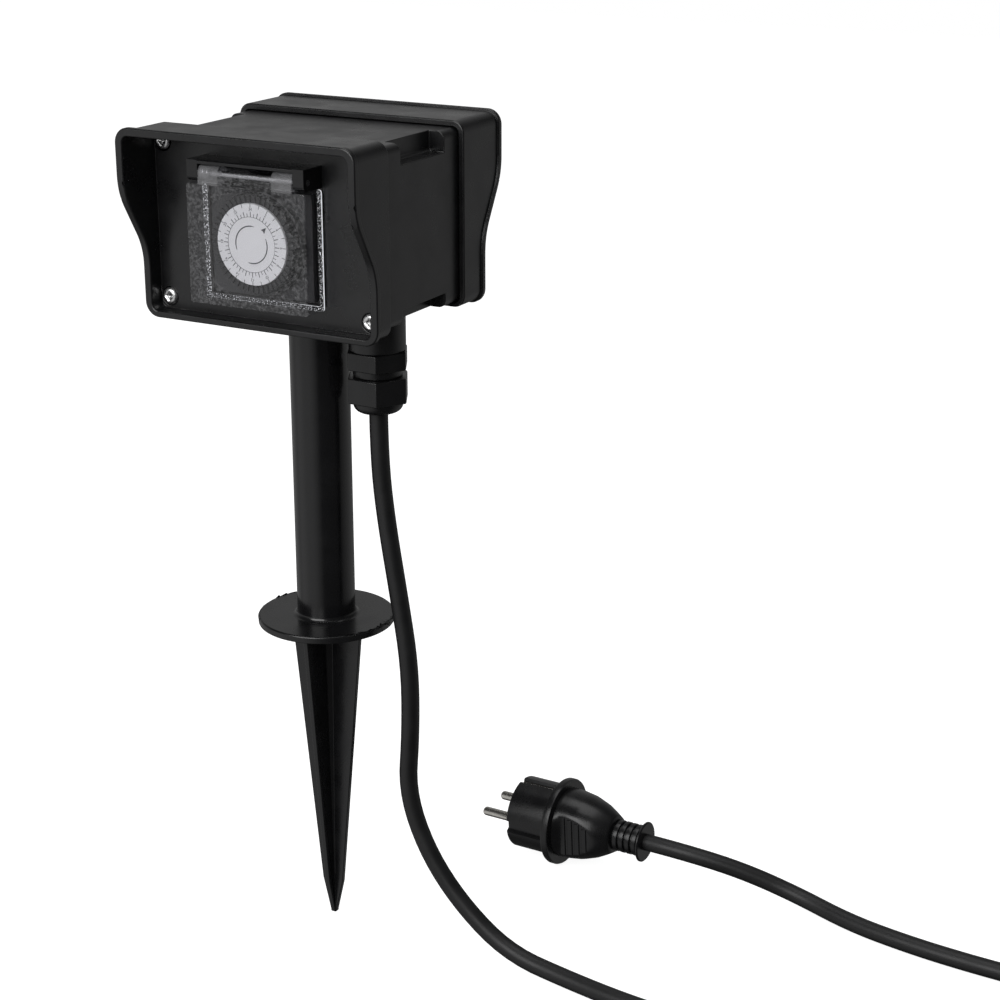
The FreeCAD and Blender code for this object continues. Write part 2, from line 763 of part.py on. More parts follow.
def gear_frame():
    """The plate inside the timer that carries the motor, the switch and the dial's shaft."""
    gap = timer_case_wall + frame_clearance
    plate = block(-timer_case_half_width + gap, timer_case_half_width - gap,
                  -frame_front_reach, -frame_front_reach + frame_thickness,
                  timer_case_bottom_z + gap, timer_case_top_z - gap)
    plate = plate.cut(rod(dial_shaft_end_radius + running_fit, Vec(0, -frame_front_reach, dial_z), ALONG_Y,
                          frame_thickness))
    return plate.cut(rod(motor_shaft_radius + running_fit, Vec(motor_x, -frame_front_reach, motor_z), ALONG_Y,
                         frame_thickness))


def timer_motor():
    """The small motor on the back of the gear frame, bored for its shaft."""
    start = Vec(motor_x, -frame_front_reach + frame_thickness, motor_z)
    can = rod(motor_radius, start, ALONG_Y, motor_length)
    return can.cut(rod(motor_shaft_radius + running_fit, start, ALONG_Y, motor_length - frame_thickness))


def timer_switch():
    """The switch on the back of the gear frame, with two terminals."""
    start = -frame_front_reach + frame_thickness
    half = switch_width / 2
    body = block(switch_centre_x - half, switch_centre_x + half, start, start + switch_depth,
                 switch_centre_z - switch_height / 2, switch_centre_z + switch_height / 2)
    return body.makeChamfer(frame_thickness / 3, edges_parallel(body, ALONG_Y))


def hex_prism(across_flats, centre, length):
    """A hexagonal bar along Y."""
    return polygon_prism(ring_polygon(6, hexagon_radius(across_flats)), centre, ALONG_Y * length)


def dial_shaft():
    """The shaft of the dial, with a hexagon for its gear and a thin end in the frame."""
    centre = Vec(0, -dial_back_reach, dial_z)
    shaft = rod(dial_shaft_radius, centre, ALONG_Y, dial_back_reach - gear_front_reach)
    shaft = shaft.fuse(hex_prism(dial_shaft_hex, Vec(0, -gear_front_reach, dial_z), gear_width))
    end_length = gear_back_reach - frame_front_reach + frame_thickness
    return shaft.fuse(rod(dial_shaft_end_radius, Vec(0, -gear_back_reach, dial_z), ALONG_Y, end_length))


def timer_dial():
    """The dial's face, with a shallow step at its rim."""
    centre = Vec(0, -dial_reach, dial_z)
    disc = rod(dial_radius, centre, ALONG_Y, dial_thickness)
    return disc.makeFillet(dial_thickness / 4, edges_at_y(disc, -dial_reach))


def tappet_ring():
    """The ring behind the dial, with a slot for each tappet; it has flat faces only."""
    centre = Vec(0, -dial_back_reach, dial_z)
    ring = polygon_prism(ring_polygon(tappet_count, tappet_ring_radius), centre, ALONG_Y * tappet_ring_depth)
    bore = polygon_prism(ring_polygon(tappet_ring_bore_sides, tappet_ring_bore), centre,
                         ALONG_Y * tappet_ring_depth)
    ring = ring.cut(bore)
    floor = tappet_length - tappet_stand + tappet_travel + tappet_end_clearance
    half = tappet_width / 2 + tappet_side_clearance
    slots = []
    for index in range(tappet_count):
        slot = block(tappet_inner_radius - tappet_side_clearance, tappet_ring_radius + tappet_width,
                     -dial_back_reach, -dial_back_reach + floor, dial_z - half, dial_z + half)
        slot.rotate(centre, ALONG_Y, 360.0 * (index + 0.5) / tappet_count)
        slots.append(slot)
    return ring.cut(Part.makeCompound(slots))


def dial_hub():
    """The hub inside the tappet ring that joins it to the shaft."""
    centre = Vec(0, -dial_back_reach, dial_z)
    hub = polygon_prism(ring_polygon(tappet_ring_bore_sides, tappet_ring_bore), centre,
                        ALONG_Y * tappet_ring_depth)
    return hub.cut(rod(dial_shaft_radius, centre, ALONG_Y, tappet_ring_depth))


def tappets():
    """The tappets, one for each half hour, as one group."""
    centre = Vec(0, -dial_back_reach, dial_z)
    pieces = []
    front = -dial_back_reach - tappet_stand
    for index in range(tappet_count):
        piece = block(tappet_inner_radius, tappet_outer_radius, front, front + tappet_length,
                      dial_z - tappet_width / 2, dial_z + tappet_width / 2)
        piece.rotate(centre, ALONG_Y, 360.0 * (index + 0.5) / tappet_count)
        pieces.append(piece)
    return Part.makeCompound(pieces)


def gear_outline(teeth, turn):
    """Points of a gear's outline in the plane of the dial, with involute flanks."""
    pitch_radius = gear_module * teeth / 2
    pressure = math.radians(gear_pressure_angle)
    base_radius = pitch_radius * math.cos(pressure)
    root_radius = pitch_radius - gear_dedendum * gear_module
    tip_radius = pitch_radius + gear_addendum * gear_module
    flank_start = max(root_radius, base_radius)
    half_tooth = math.pi / (2 * teeth) - gear_tooth_thinning / (2 * pitch_radius)

    def half_angle(radius):
        at_point = math.acos(min(1.0, base_radius / radius))
        opened = math.tan(at_point) - at_point
        return half_tooth + math.tan(pressure) - pressure - opened

    flank = [(root_radius, half_angle(flank_start))]
    for step in range(gear_flank_points):
        radius = flank_start + (tip_radius - flank_start) * step / (gear_flank_points - 1)
        if radius > root_radius:
            flank.append((radius, half_angle(radius)))
    points = []
    for index in range(teeth):
        middle = math.radians(turn) + 2 * math.pi * index / teeth
        for radius, angle in flank:
            points.append(Vec(radius * math.cos(middle - angle), 0, radius * math.sin(middle - angle)))
        for radius, angle in reversed(flank):
            points.append(Vec(radius * math.cos(middle + angle), 0, radius * math.sin(middle + angle)))
    return points


def gear(teeth, turn, centre, bore_across_flats):
    """A spur gear with a hexagonal bore; it has flat faces only."""
    blank = polygon_prism(gear_outline(teeth, turn), centre, ALONG_Y * gear_width)
    return blank.cut(hex_prism(bore_across_flats, centre, gear_width))


def dial_gear():
    """The large gear on the dial's shaft, a tooth facing the pinion."""
    return gear(dial_gear_teeth, pinion_direction, Vec(0, -gear_front_reach, dial_z), dial_shaft_hex)


def motor_pinion():
    """The pinion on the motor's shaft, a gap facing the dial's gear."""
    turn = pinion_direction + 180.0 + 180.0 / pinion_teeth
    return gear(pinion_teeth, turn, Vec(motor_x, -gear_front_reach, motor_z), motor_shaft_hex)


def motor_shaft():
    """The motor's shaft, round in the motor and hexagonal in the pinion."""
    front = Vec(motor_x, -gear_front_reach, motor_z)
    back = Vec(motor_x, -gear_back_reach, motor_z)
    depth = gear_back_reach - frame_front_reach + motor_length - frame_thickness
    return hex_prism(motor_shaft_hex, front, gear_width).fuse(rod(motor_shaft_radius, back, ALONG_Y, depth))


def socket_insert():
    """The socket's moulding with its round well, key ribs and pin holes."""
    front = Vec(0, -socket_face_reach, dial_z)
    body = opening_plate(socket_face_reach)
    floor_reach = socket_face_reach - socket_well_depth
    back_reach = floor_reach - socket_floor_thickness
    body = body.fuse(rod(socket_well_radius + socket_well_wall, Vec(0, -plate_back_reach, dial_z), ALONG_Y,
                         plate_back_reach - back_reach))
    well = rod(socket_well_radius, front, ALONG_Y, socket_well_depth)
    for sign in (-1, 1):
        x0, x1 = sorted((sign * (socket_well_radius - socket_key_height), sign * (socket_well_radius + 1)))
        well = well.cut(block(x0, x1, -socket_face_reach, -floor_reach,
                              dial_z - socket_key_width / 2, dial_z + socket_key_width / 2))
    body = body.cut(well)
    for sign in (-1, 1):
        body = body.cut(rod(socket_pin_hole_radius, Vec(sign * socket_pin_pitch / 2, -floor_reach, dial_z),
                            ALONG_Y, socket_floor_thickness))
        z0, z1 = sorted((dial_z + sign * earth_clip_z(0), dial_z + sign * earth_clip_z(1)))
        body = body.cut(block(-earth_clip_width / 2, earth_clip_width / 2, -floor_reach, -back_reach, z0, z1))
    return body.removeSplitter()


def earth_clip_z(side):
    """Height of the earth clip's inner (0) or outer (1) face from the socket's axis."""
    outer = socket_well_radius - earth_clip_stand
    return outer if side else outer - earth_clip_thickness


def socket_earth_clip():
    """The earth clip: two springs along the well, joined behind its floor."""
    half = earth_clip_width / 2
    front = -socket_face_reach + earth_clip_front_gap
    back = -socket_face_reach + socket_well_depth + earth_clip_rear_length
    clip = block(-half, half, back - earth_clip_thickness, back,
                 dial_z - earth_clip_z(1), dial_z + earth_clip_z(1))
    for sign in (-1, 1):
        z0, z1 = sorted((dial_z + sign * earth_clip_z(0), dial_z + sign * earth_clip_z(1)))
        clip = clip.fuse(block(-half, half, front, back, z0, z1))
    return clip.removeSplitter()


def socket_contacts():
    """Two contact sleeves behind the pin holes, as one group."""
    sleeves = []
    start_y = -socket_face_reach + socket_well_depth + socket_floor_thickness
    for sign in (-1, 1):
        start = Vec(sign * socket_pin_pitch / 2, start_y, dial_z)
        sleeve = rod(socket_contact_radius, start, ALONG_Y, socket_contact_length)
        sleeves.append(sleeve.cut(rod(socket_contact_bore, start, ALONG_Y, socket_contact_depth)))
    return Part.makeCompound(sleeves)


def hexagon_on_gland(z0, z1, across_flats):
    """A hexagonal length of the gland between two levels."""
    corners = []
    for index in range(6):
        angle = math.radians(gland_hex_turn + 60.0 * index)
        radius = hexagon_radius(across_flats)
        corners.append(Vec(radius * math.sin(angle), -radius * math.cos(angle), 0))
    return polygon_prism(corners, gland_centre + ALONG_Z * z0, ALONG_Z * (z1 - z0))


def gland_body():
    """The gland's body: thread in the boss, hexagon and neck."""
    top_z = gland_boss_bottom_z + gland_thread_length
    boss_start = gland_centre + ALONG_Z * gland_boss_bottom_z
    body = rod(gland_thread_radius, boss_start, ALONG_Z, gland_thread_length)
    body = body.fuse(hexagon_on_gland(gland_hex_bottom_z, gland_boss_bottom_z, gland_hex_across_flats))
    seal_top_z = gland_exit_z + gland_nut_end_height + gland_seal_length
    neck_start = gland_centre + ALONG_Z * gland_neck_bottom_z
    body = body.fuse(rod(gland_neck_radius, neck_start, ALONG_Z, gland_neck_height))
    thread_bottom_z = gland_nut_bottom_z + gland_nut_end_height
    body = body.fuse(rod(gland_thread_radius, gland_centre + ALONG_Z * thread_bottom_z, ALONG_Z,
                         gland_neck_bottom_z - thread_bottom_z))
    body = body.cut(rod(gland_seal_radius, gland_centre + ALONG_Z * thread_bottom_z, ALONG_Z,
                        seal_top_z - thread_bottom_z))
    body = body.cut(rod(cord_radius + gland_bore_clearance, gland_centre + ALONG_Z * thread_bottom_z, ALONG_Z,
                        top_z - thread_bottom_z))
    return body.removeSplitter()


def gland_seal():
    """The rubber sleeve that the nut squeezes round the cord."""
    bottom_z = gland_nut_bottom_z
    top_z = gland_exit_z + gland_nut_end_height + gland_seal_length
    sleeve = rod(gland_seal_radius, gland_centre + ALONG_Z * bottom_z, ALONG_Z, top_z - bottom_z)
    return sleeve.cut(rod(cord_radius, gland_centre + ALONG_Z * bottom_z, ALONG_Z, top_z - bottom_z))


def gland_nut():
    """The dome nut: a hexagon that ends in a rounded nose."""
    nut = hexagon_on_gland(gland_nut_bottom_z, gland_neck_bottom_z, gland_hex_across_flats)
    nose = rod(gland_nut_end_radius, gland_centre + ALONG_Z * gland_exit_z, ALONG_Z, gland_nut_end_height)
    lower = [e for e in nose.Edges if abs(e.BoundBox.ZMax - gland_exit_z) < 1e-6]
    nut = nut.fuse(nose.makeFillet(gland_nut_end_rounding, lower))
    thread_bottom_z = gland_nut_bottom_z + gland_nut_end_height
    nut = nut.cut(rod(gland_thread_radius, gland_centre + ALONG_Z * thread_bottom_z, ALONG_Z,
                      gland_neck_bottom_z - thread_bottom_z))
    nut = nut.cut(rod(gland_seal_radius, gland_centre + ALONG_Z * gland_nut_bottom_z, ALONG_Z,
                      thread_bottom_z - gland_nut_bottom_z))
    return nut.cut(rod(cord_radius + gland_bore_clearance, gland_centre + ALONG_Z * gland_exit_z, ALONG_Z,
                       gland_nut_end_height))


def gland_thread_ring():
    """The ring on top of the gland's thread, inside the boss."""
    start = gland_centre + ALONG_Z * (gland_boss_bottom_z + gland_thread_length)
    ring = rod(gland_thread_radius, start, ALONG_Z, gland_ring_thickness)
    return ring.cut(rod(cord_radius + gland_bore_clearance, start, ALONG_Z, gland_ring_thickness))


def cord_end():
    """The sheathed end of the cord inside the gland and the box."""
    top_z = box_floor_z + cord_end_stub
    return rod(cord_radius, gland_centre + ALONG_Z * gland_exit_z, ALONG_Z, top_z - gland_exit_z)


def terminal_x(index):
    """Place of one terminal along the block."""
    return terminal_block_centre_x + terminal_pitch * (index - (terminal_count - 1) / 2)


def terminal_block():
    """The block of terminals on the floor of the box."""
    half = terminal_pitch * terminal_count / 2
    y0 = terminal_block_centre_y - terminal_block_depth / 2
    top_z = box_floor_z + terminal_block_height
    body = block(terminal_block_centre_x - half, terminal_block_centre_x + half,
                 y0, y0 + terminal_block_depth, box_floor_z, top_z)
    body = body.cut(rod(post_screw_head_radius + gland_bore_clearance, Vec(0, 0, box_floor_z), ALONG_Z,
                        post_screw_head_height + gland_bore_clearance))
    for index in range(terminal_count):
        hole_start = Vec(terminal_x(index), terminal_block_centre_y, top_z)
        body = body.cut(rod(terminal_screw_radius, hole_start, -ALONG_Z, terminal_screw_depth))
    return body


def terminal_screws():
    """The terminals' screws, as one group."""
    top_z = box_floor_z + terminal_block_height
    screws = []
    for index in range(terminal_count):
        start = Vec(terminal_x(index), terminal_block_centre_y, top_z + terminal_screw_stand)
        screw = rod(terminal_screw_radius, start, -ALONG_Z, terminal_screw_stand + terminal_screw_depth)
        half = screw_slot_width / 2
        slot = block(start.x - terminal_screw_radius, start.x + terminal_screw_radius,
                     start.y - half, start.y + half, start.z - terminal_screw_stand, start.z)
        screws.append(screw.cut(slot))
    return Part.makeCompound(screws)


def wire(points):
    """One insulated wire along a few points."""
    return cord_tube("wire", points, wire_radius)


def supply_wires():
    """The cord's three cores, from its sheath to the terminals' front."""
    front_y = terminal_block_centre_y - terminal_block_depth / 2
    start_z = box_floor_z + cord_end_stub
    level_z = box_floor_z + wire_entry_height
    wires = []
    for index in range(terminal_count):
        side = index - (terminal_count - 1) / 2
        start = gland_centre + Vec(0, wire_spread * side, start_z)
        lane = level_z + 2 * wire_spread * (terminal_count - 1 - index)
        over_y = (front_y - case_back_reach) / 2 + wire_lane_shift
        end = Vec(terminal_x(index), front_y, level_z)
        wires.append(wire([start, Vec(start.x, start.y, lane), Vec(end.x + wire_spread, over_y, lane),
                           Vec(end.x, over_y + (front_y - over_y) * wire_drop_share, level_z), end]))
    return Part.makeCompound(wires)


def socket_wires():
    """Two wires from the terminals' back to the socket's contacts."""
    back_y = terminal_block_centre_y + terminal_block_depth / 2
    level_z = box_floor_z + wire_entry_height
    wires = []
    for index, sign in ((0, -1), (2, 1)):
        start = Vec(terminal_x(index), back_y, level_z)
        end = Vec(sign * socket_pin_pitch / 2, contact_end_reach, dial_z)
        middle_y = (back_y + contact_end_reach) / 2
        wires.append(wire([start, Vec(start.x, middle_y, level_z), Vec(end.x, middle_y, end.z), end]))
    return Part.makeCompound(wires)


def post_tube():
    """The round post, with a small flare where it stands on the disc."""
    inner_foot = Vec(post_radius - post_wall, 0, disc_thickness)
    outer_foot = Vec(post_radius + post_foot_flare, 0, disc_thickness)
    flare_top = Vec(post_radius, 0, disc_thickness + post_foot_flare)
    flare_set = post_foot_flare * (1 - math.sqrt(0.5))
    flare_middle = Vec(post_radius + flare_set, 0, disc_thickness + flare_set)
    outer_top = Vec(post_radius, 0, box_bottom_z)
    inner_top = Vec(post_radius - post_wall, 0, box_bottom_z)
    outline = [
        Part.makeLine(inner_foot, outer_foot),
        Part.Arc(outer_foot, flare_middle, flare_top).toShape(),
        Part.makeLine(flare_top, outer_top),
        Part.makeLine(outer_top, inner_top),
        Part.makeLine(inner_top, inner_foot),
    ]
    return Part.Face(Part.Wire(outline)).revolve(Vec(0, 0, 0), ALONG_Z, 360)


def post_cap():
    """The plug in the top of the post that takes the screw from the box."""
    start = Vec(0, 0, box_bottom_z - post_cap_length)
    cap = rod(post_radius - post_wall, start, ALONG_Z, post_cap_length)
    return cap.cut(rod(post_screw_radius, start, ALONG_Z, post_cap_length))


def post_screw():
    """The screw that holds the box on the post."""
    head = rod(post_screw_head_radius, Vec(0, 0, box_floor_z), ALONG_Z, post_screw_head_height)
    shank = rod(post_screw_radius, Vec(0, 0, box_floor_z), -ALONG_Z, box_wall + post_cap_length)
    corners = [Vec(corner.x, corner.z, 0) for corner in ring_polygon(6, post_screw_radius)]
    key_start = Vec(0, 0, box_floor_z + post_screw_head_height / 2)
    socket = polygon_prism(corners, key_start, ALONG_Z * post_screw_head_height)
    return head.fuse(shank).cut(socket)


def spike_fin():
    """One of the two crossed blades of the spike, in the plane of X and Z."""
    half = spike_fin_thickness / 2
    corners = [
        Vec(-spike_root_half_width, 0, 0),
        Vec(-spike_taper_end_half_width, 0, -spike_taper_end_depth),
        Vec(-spike_tip_half_width, 0, -spike_length),
        Vec(spike_tip_half_width, 0, -spike_length),
        Vec(spike_taper_end_half_width, 0, -spike_taper_end_depth),
        Vec(spike_root_half_width, 0, 0),
    ]
    return polygon_prism(corners, Vec(0, -half, 0), Vec(0, 2 * half, 0))


def core_section(reach, z):
    """Outline of the spike's core at a level, its corners on the blades."""
    corners = [Vec(reach, 0, z), Vec(0, reach, z), Vec(-reach, 0, z), Vec(0, -reach, z)]
    return Part.makePolygon(corners + [corners[0]])


def ground_spike():
    """The disc with its crossed blades below and its spigot inside the post."""
    disc = rod(disc_radius, Vec(0, 0, 0), ALONG_Z, disc_thickness)
    top = [e for e in disc.Edges if abs(e.BoundBox.ZMin - disc_thickness) < 1e-6]
    disc = disc.makeFillet(disc_edge_rounding, top)
    fin = spike_fin()
    other = fin.copy()
    other.rotate(Vec(0, 0, 0), ALONG_Z, 90)
    core_ends = [core_section(spike_core_root, 0), core_section(spike_core_end, -spike_core_depth)]
    core = Part.makeLoft(core_ends, True, True)
    spigot_radius = post_radius - post_wall - spigot_clearance
    spigot = rod(spigot_radius, Vec(0, 0, disc_thickness), ALONG_Z, spigot_length)
    return disc.fuse([fin, other, core, spigot]).removeSplitter()


def coil_place(turn):
    """Centre and heading of the coiled cord after some turns, from its start."""
    middle = coil_turns / 2
    radius = coil_inner_radius + coil_spacing * abs(turn - middle)
    into = 0.0 if abs(turn - middle) < 1e-9 else math.copysign(coil_spacing, turn - middle)
    level = cord_level_z + tie_thickness + tie_clearance
    climb = (turn - middle) / coil_climb_turns + 0.5
    height = level + coil_spacing * max(0.0, min(1.0, climb))
    rise = coil_spacing / coil_climb_turns * 1.5 if 0.01 < climb < 0.99 else 0.0
    angle = math.pi / 2 - 2 * math.pi * turn
    out = Vec(math.cos(angle), math.sin(angle), 0)
    onward = Vec(math.sin(angle), -math.cos(angle), 0)
    place = Vec(coil_centre_x, coil_centre_y, 0) + out * radius + ALONG_Z * height
    heading = onward * (2 * math.pi * radius) + out * into + ALONG_Z * rise
    return place, heading.normalize()


def coil_ends():
    """Where the coiled cord begins and ends, with its headings, one diameter straight."""
    first, first_heading = coil_place(0.0)
    last, last_heading = coil_place(coil_turns)
    straight = 2 * cord_radius
    return first - first_heading * straight, first_heading, last + last_heading * straight, last_heading


def cord_coil():
    """The put away length of the cord, wound in two layers, as one tube."""
    begin, _, end, _ = coil_ends()
    places = [coil_place(quarter / 4) for quarter in range(int(round(coil_turns * 4)) + 1)]
    edges = [Part.makeLine(begin, places[0][0])]
    for (p0, t0), (p1, t1) in zip(places, places[1:]):
        edges.extend(biarc(p0, t0, p1, t1))
    edges.append(Part.makeLine(places[-1][0], end))
    coil = sweep_round(edges, cord_radius)
    length = sum(edge.Length for edge in edges)
    samples = []
    travelled = 0.0
    for edge in edges:
        count = max(2, int(edge.Length / 4))
        for step in range(count):
            share = step / count
            point = edge.valueAt(edge.FirstParameter + share * (edge.LastParameter - edge.FirstParameter))
            samples.append((travelled + share * edge.Length, point))
        travelled += edge.Length
    gap = min(a.distanceToPoint(b) for sa, a in samples for sb, b in samples if sb - sa > 10 * cord_radius)
    print("cord_coil length", round(length, 1), "gap to itself", round(gap - 2 * cord_radius, 2),
          "volume ratio", round(coil.Volume / (math.pi * cord_radius ** 2 * length), 4))
    return coil


def coil_tie():
    """The strap round the coil's turns."""
    level = cord_level_z + tie_thickness + tie_clearance
    near = coil_inner_radius + coil_spacing * 0.5 - cord_radius - tie_clearance
    far = coil_inner_radius + coil_spacing * 1.5 + cord_radius + tie_clearance
    low = level - cord_radius - tie_clearance
    high = level + coil_spacing + cord_radius + tie_clearance
    x0 = coil_centre_x - tie_width / 2
    x1 = coil_centre_x + tie_width / 2
    outer = block(x0, x1, coil_centre_y - far - tie_thickness, coil_centre_y - near + tie_thickness,
                  low - tie_thickness, high + tie_thickness)
    outer = outer.makeFillet(tie_corner_radius, edges_parallel(outer, ALONG_X))
    inner = block(x0, x1, coil_centre_y - far, coil_centre_y - near, low, high)
    return outer.cut(inner.makeFillet(tie_corner_radius - tie_thickness, edges_parallel(inner, ALONG_X)))


def cord_lead():
    """The cord from the gland down beside the post and along the floor to the coil."""
    begin, heading, _, _ = coil_ends()
    points = [
        Vec(gland_x, gland_y, gland_exit_z),
        Vec(gland_x, gland_y, 88.0),
        Vec(37.6, -3.3, 58.0),
        Vec(44.0, -3.7, 22.0),
        Vec(50.2, -4.4, -14.0),
        Vec(50.6, -5.4, -50.0),
        Vec(48.3, -6.0, -80.0),
        Vec(59.5, -6.8, -109.0),
        Vec(79.0, -7.0, -134.0),
        Vec(106.0, -7.2, -154.2),
        Vec(140.0, -9.4, -158.2),
        Vec(174.0, -14.9, -158.2),
        Vec(211.0, -17.2, -158.1),
        Vec(246.0, -10.5, -157.6),
        begin - heading * coil_lead_straight,
        begin,
    ]
    return cord_tube("cord_lead", points, cord_radius)


def cord_tail():
    """The cord from the coil round to the plug."""
    _, _, begin, heading = coil_ends()
    out = (plug_rear - plug_origin).normalize()
    points = [
        begin,
        begin + heading * coil_tail_straight,
        Vec(366.5, 15.8, -153.8),
        Vec(377.0, 48.0, -158.0),
        Vec(366.0, 80.0, -158.2),
        Vec(338.5, 97.5, -158.2),
        Vec(306.0, 98.2, -158.2),
        Vec(274.0, 101.2, -158.2),
        Vec(241.0, 107.6, -158.2),
        Vec(209.0, 117.6, -155.9),
        Vec(181.0, 110.6, -145.6),
        plug_rear + out * plug_cord_straight,
        plug_rear,
    ]
    return cord_tube("cord_tail", points, cord_radius)


def place_plug(shape):
    """Moves a piece from the plug's own frame to where the plug lies."""
    toward = (plug_origin - plug_rear).normalize()
    side = ALONG_Z.cross(toward).normalize()
    up = toward.cross(side)
    turn = FreeCAD.Rotation(up, side, toward, "ZXY")
    roll = FreeCAD.Rotation(ALONG_Z, plug_roll)
    placed = shape.copy()
    placed.Placement = FreeCAD.Placement(plug_origin, turn.multiply(roll))
    return placed


def plug_length_to_rear():
    """How far the plug's rear end lies behind the flange."""
    return plug_origin.distanceToPoint(plug_rear)


def plug_grip():
    """The bulging grip behind the flange, flat at both sides."""
    start = -plug_flange_thickness
    end = start - plug_grip_length
    corner = Vec(plug_grip_radius, 0, start)
    middle = Vec(plug_grip_middle_radius, 0, start - plug_grip_length * plug_grip_middle_share)
    tail = Vec(plug_grip_end_radius, 0, end)
    outline = [
        Part.makeLine(Vec(0, 0, start), corner),
        Part.Arc(corner, middle, tail).toShape(),
        Part.makeLine(tail, Vec(0, 0, end)),
        Part.makeLine(Vec(0, 0, end), Vec(0, 0, start)),
    ]
    grip = Part.Face(Part.Wire(outline)).revolve(Vec(0, 0, 0), ALONG_Z, 360)
    sides = block(-plug_flange_radius, plug_flange_radius, -plug_grip_side, plug_grip_side, end, start)
    return grip.common(sides)


def plug_body():
    """The moulded plug: round front with keys, flange and a tapered grip."""
    front = rod(plug_front_radius, Vec(0, 0, 0), ALONG_Z, plug_front_length)
    tip = [e for e in front.Edges if abs(e.BoundBox.ZMin - plug_front_length) < 1e-6]
    body = front.makeChamfer(plug_nose_taper, tip)
    for sign in (-1, 1):
        y0, y1 = sorted((sign * (plug_front_radius - plug_key_cut), sign * (plug_front_radius + 1)))
        body = body.cut(block(-plug_key_half_width, plug_key_half_width, y0, y1, 0, plug_front_length))
        x0, x1 = sorted((sign * (plug_front_radius - plug_key_cut), sign * (plug_front_radius + 1)))
        body = body.cut(block(x0, x1, -earth_strip_width / 2, earth_strip_width / 2, 0, plug_front_length))
    flange = rod(plug_flange_radius, Vec(0, 0, -plug_flange_thickness), ALONG_Z, plug_flange_thickness)
    flange = flange.makeFillet(plug_flange_thickness / 3, flange.Edges[0:1])
    body = body.fuse([flange, plug_grip()])
    for sign in (-1, 1):
        seat = Vec(0, sign * plug_pin_pitch / 2, plug_front_length - plug_pin_seat)
        body = body.cut(rod(plug_pin_seat_radius, seat, ALONG_Z, plug_pin_seat))
    return place_plug(body)


def plug_pins():
    """The two round pins, as one group."""
    pins = []
    for sign in (-1, 1):
        start = Vec(0, sign * plug_pin_pitch / 2, plug_front_length)
        pin = rod(plug_pin_radius, start, ALONG_Z, plug_pin_length)
        tip = [e for e in pin.Edges if abs(e.BoundBox.ZMin - plug_front_length - plug_pin_length) < 1e-6]
        seat = rod(plug_pin_seat_radius, start, -ALONG_Z, plug_pin_seat)
        pins.append(place_plug(pin.makeFillet(plug_pin_rounding, tip).fuse(seat)))
    return Part.makeCompound(pins)


def plug_earth_strips():
    """The two earth strips in the sides of the plug's front, as one group."""
    strips = []
    for sign in (-1, 1):
        inner = plug_front_radius - plug_key_cut
        x0, x1 = sorted((sign * inner, sign * (inner + earth_strip_thickness)))
        strips.append(place_plug(block(x0, x1, -earth_strip_width / 2, earth_strip_width / 2,
                                       0, plug_front_length - plug_nose_taper)))
    return Part.makeCompound(strips)


def plug_relief():
    """The ribbed bend relief behind the grip, with its end flange."""
    front_z = -plug_flange_thickness - plug_grip_length
    rear_z = -plug_length_to_rear()
    length = front_z - rear_z
    relief = rod(relief_radius, Vec(0, 0, rear_z), ALONG_Z, length)
    pitch = (length - relief_flange_thickness) / relief_ring_count
    for index in range(relief_ring_count):
        z0 = rear_z + relief_flange_thickness + pitch * index
        groove = rod(relief_radius, Vec(0, 0, z0), ALONG_Z, relief_ring_gap)
        core = rod(relief_radius - relief_ring_gap_depth, Vec(0, 0, z0), ALONG_Z, relief_ring_gap)
        relief = relief.cut(groove.cut(core))
    flange = rod(relief_flange_radius, Vec(0, 0, rear_z), ALONG_Z, relief_flange_thickness)
    return place_plug(relief.fuse(flange).removeSplitter())


PIECES = {
    "front_cover": lambda: cover(front_skirt_reach),
    "front_cover_screws": cover_screws,
    "front_gasket": box_gasket,
    "main_body": main_body,
    "rear_gasket": lambda: to_rear(box_gasket()),
    "rear_cover": lambda: to_rear(cover(rear_skirt_reach)),
    "rear_cover_screws": lambda: to_rear(cover_screws()),
    "lid_hinge_bracket": hinge_bracket,
    "lid_hinge_pin": hinge_pin,
    "lid_spring": lid_spring,
    "lid_seal": lid_seal,
    "timer_lid": lid,
    "timer_plate": timer_plate,
    "timer_case": timer_case,
    "gear_frame": gear_frame,
    "timer_motor": timer_motor,
    "timer_switch": timer_switch,
    "timer_dial": timer_dial,
    "dial_hub": dial_hub,
    "dial_shaft": dial_shaft,
    "dial_gear": dial_gear,
    "tappet_ring": tappet_ring,
    "tappets": tappets,
    "motor_pinion": motor_pinion,
    "motor_shaft": motor_shaft,
    "socket_insert": lambda: to_rear(socket_insert()),
    "socket_earth_clip": lambda: to_rear(socket_earth_clip()),
    "socket_contacts": lambda: to_rear(socket_contacts()),
    "socket_hinge_bracket": lambda: to_rear(hinge_bracket()),
    "socket_hinge_pin": lambda: to_rear(hinge_pin()),
    "socket_lid_spring": lambda: to_rear(lid_spring()),
    "socket_lid_seal": lambda: to_rear(lid_seal()),
    "socket_lid": lambda: to_rear(lid()),
    "terminal_block": terminal_block,
    "terminal_screws": terminal_screws,
    "supply_wires": supply_wires,
    "socket_wires": socket_wires,
    "cord_end": cord_end,
    "gland_body": gland_body,
    "gland_thread_ring": gland_thread_ring,
    "gland_seal": gland_seal,
    "gland_nut": gland_nut,
    "post_tube": post_tube,
    "post_cap": post_cap,
    "post_screw": post_screw,
    "ground_spike": ground_spike,
    "cord_lead": cord_lead,
    "cord_coil": cord_coil,
    "coil_tie": coil_tie,
    "cord_tail": cord_tail,
    "plug_body": plug_body,
    "plug_pins": plug_pins,
    "plug_earth_strips": plug_earth_strips,
    "plug_relief": plug_relief,
}

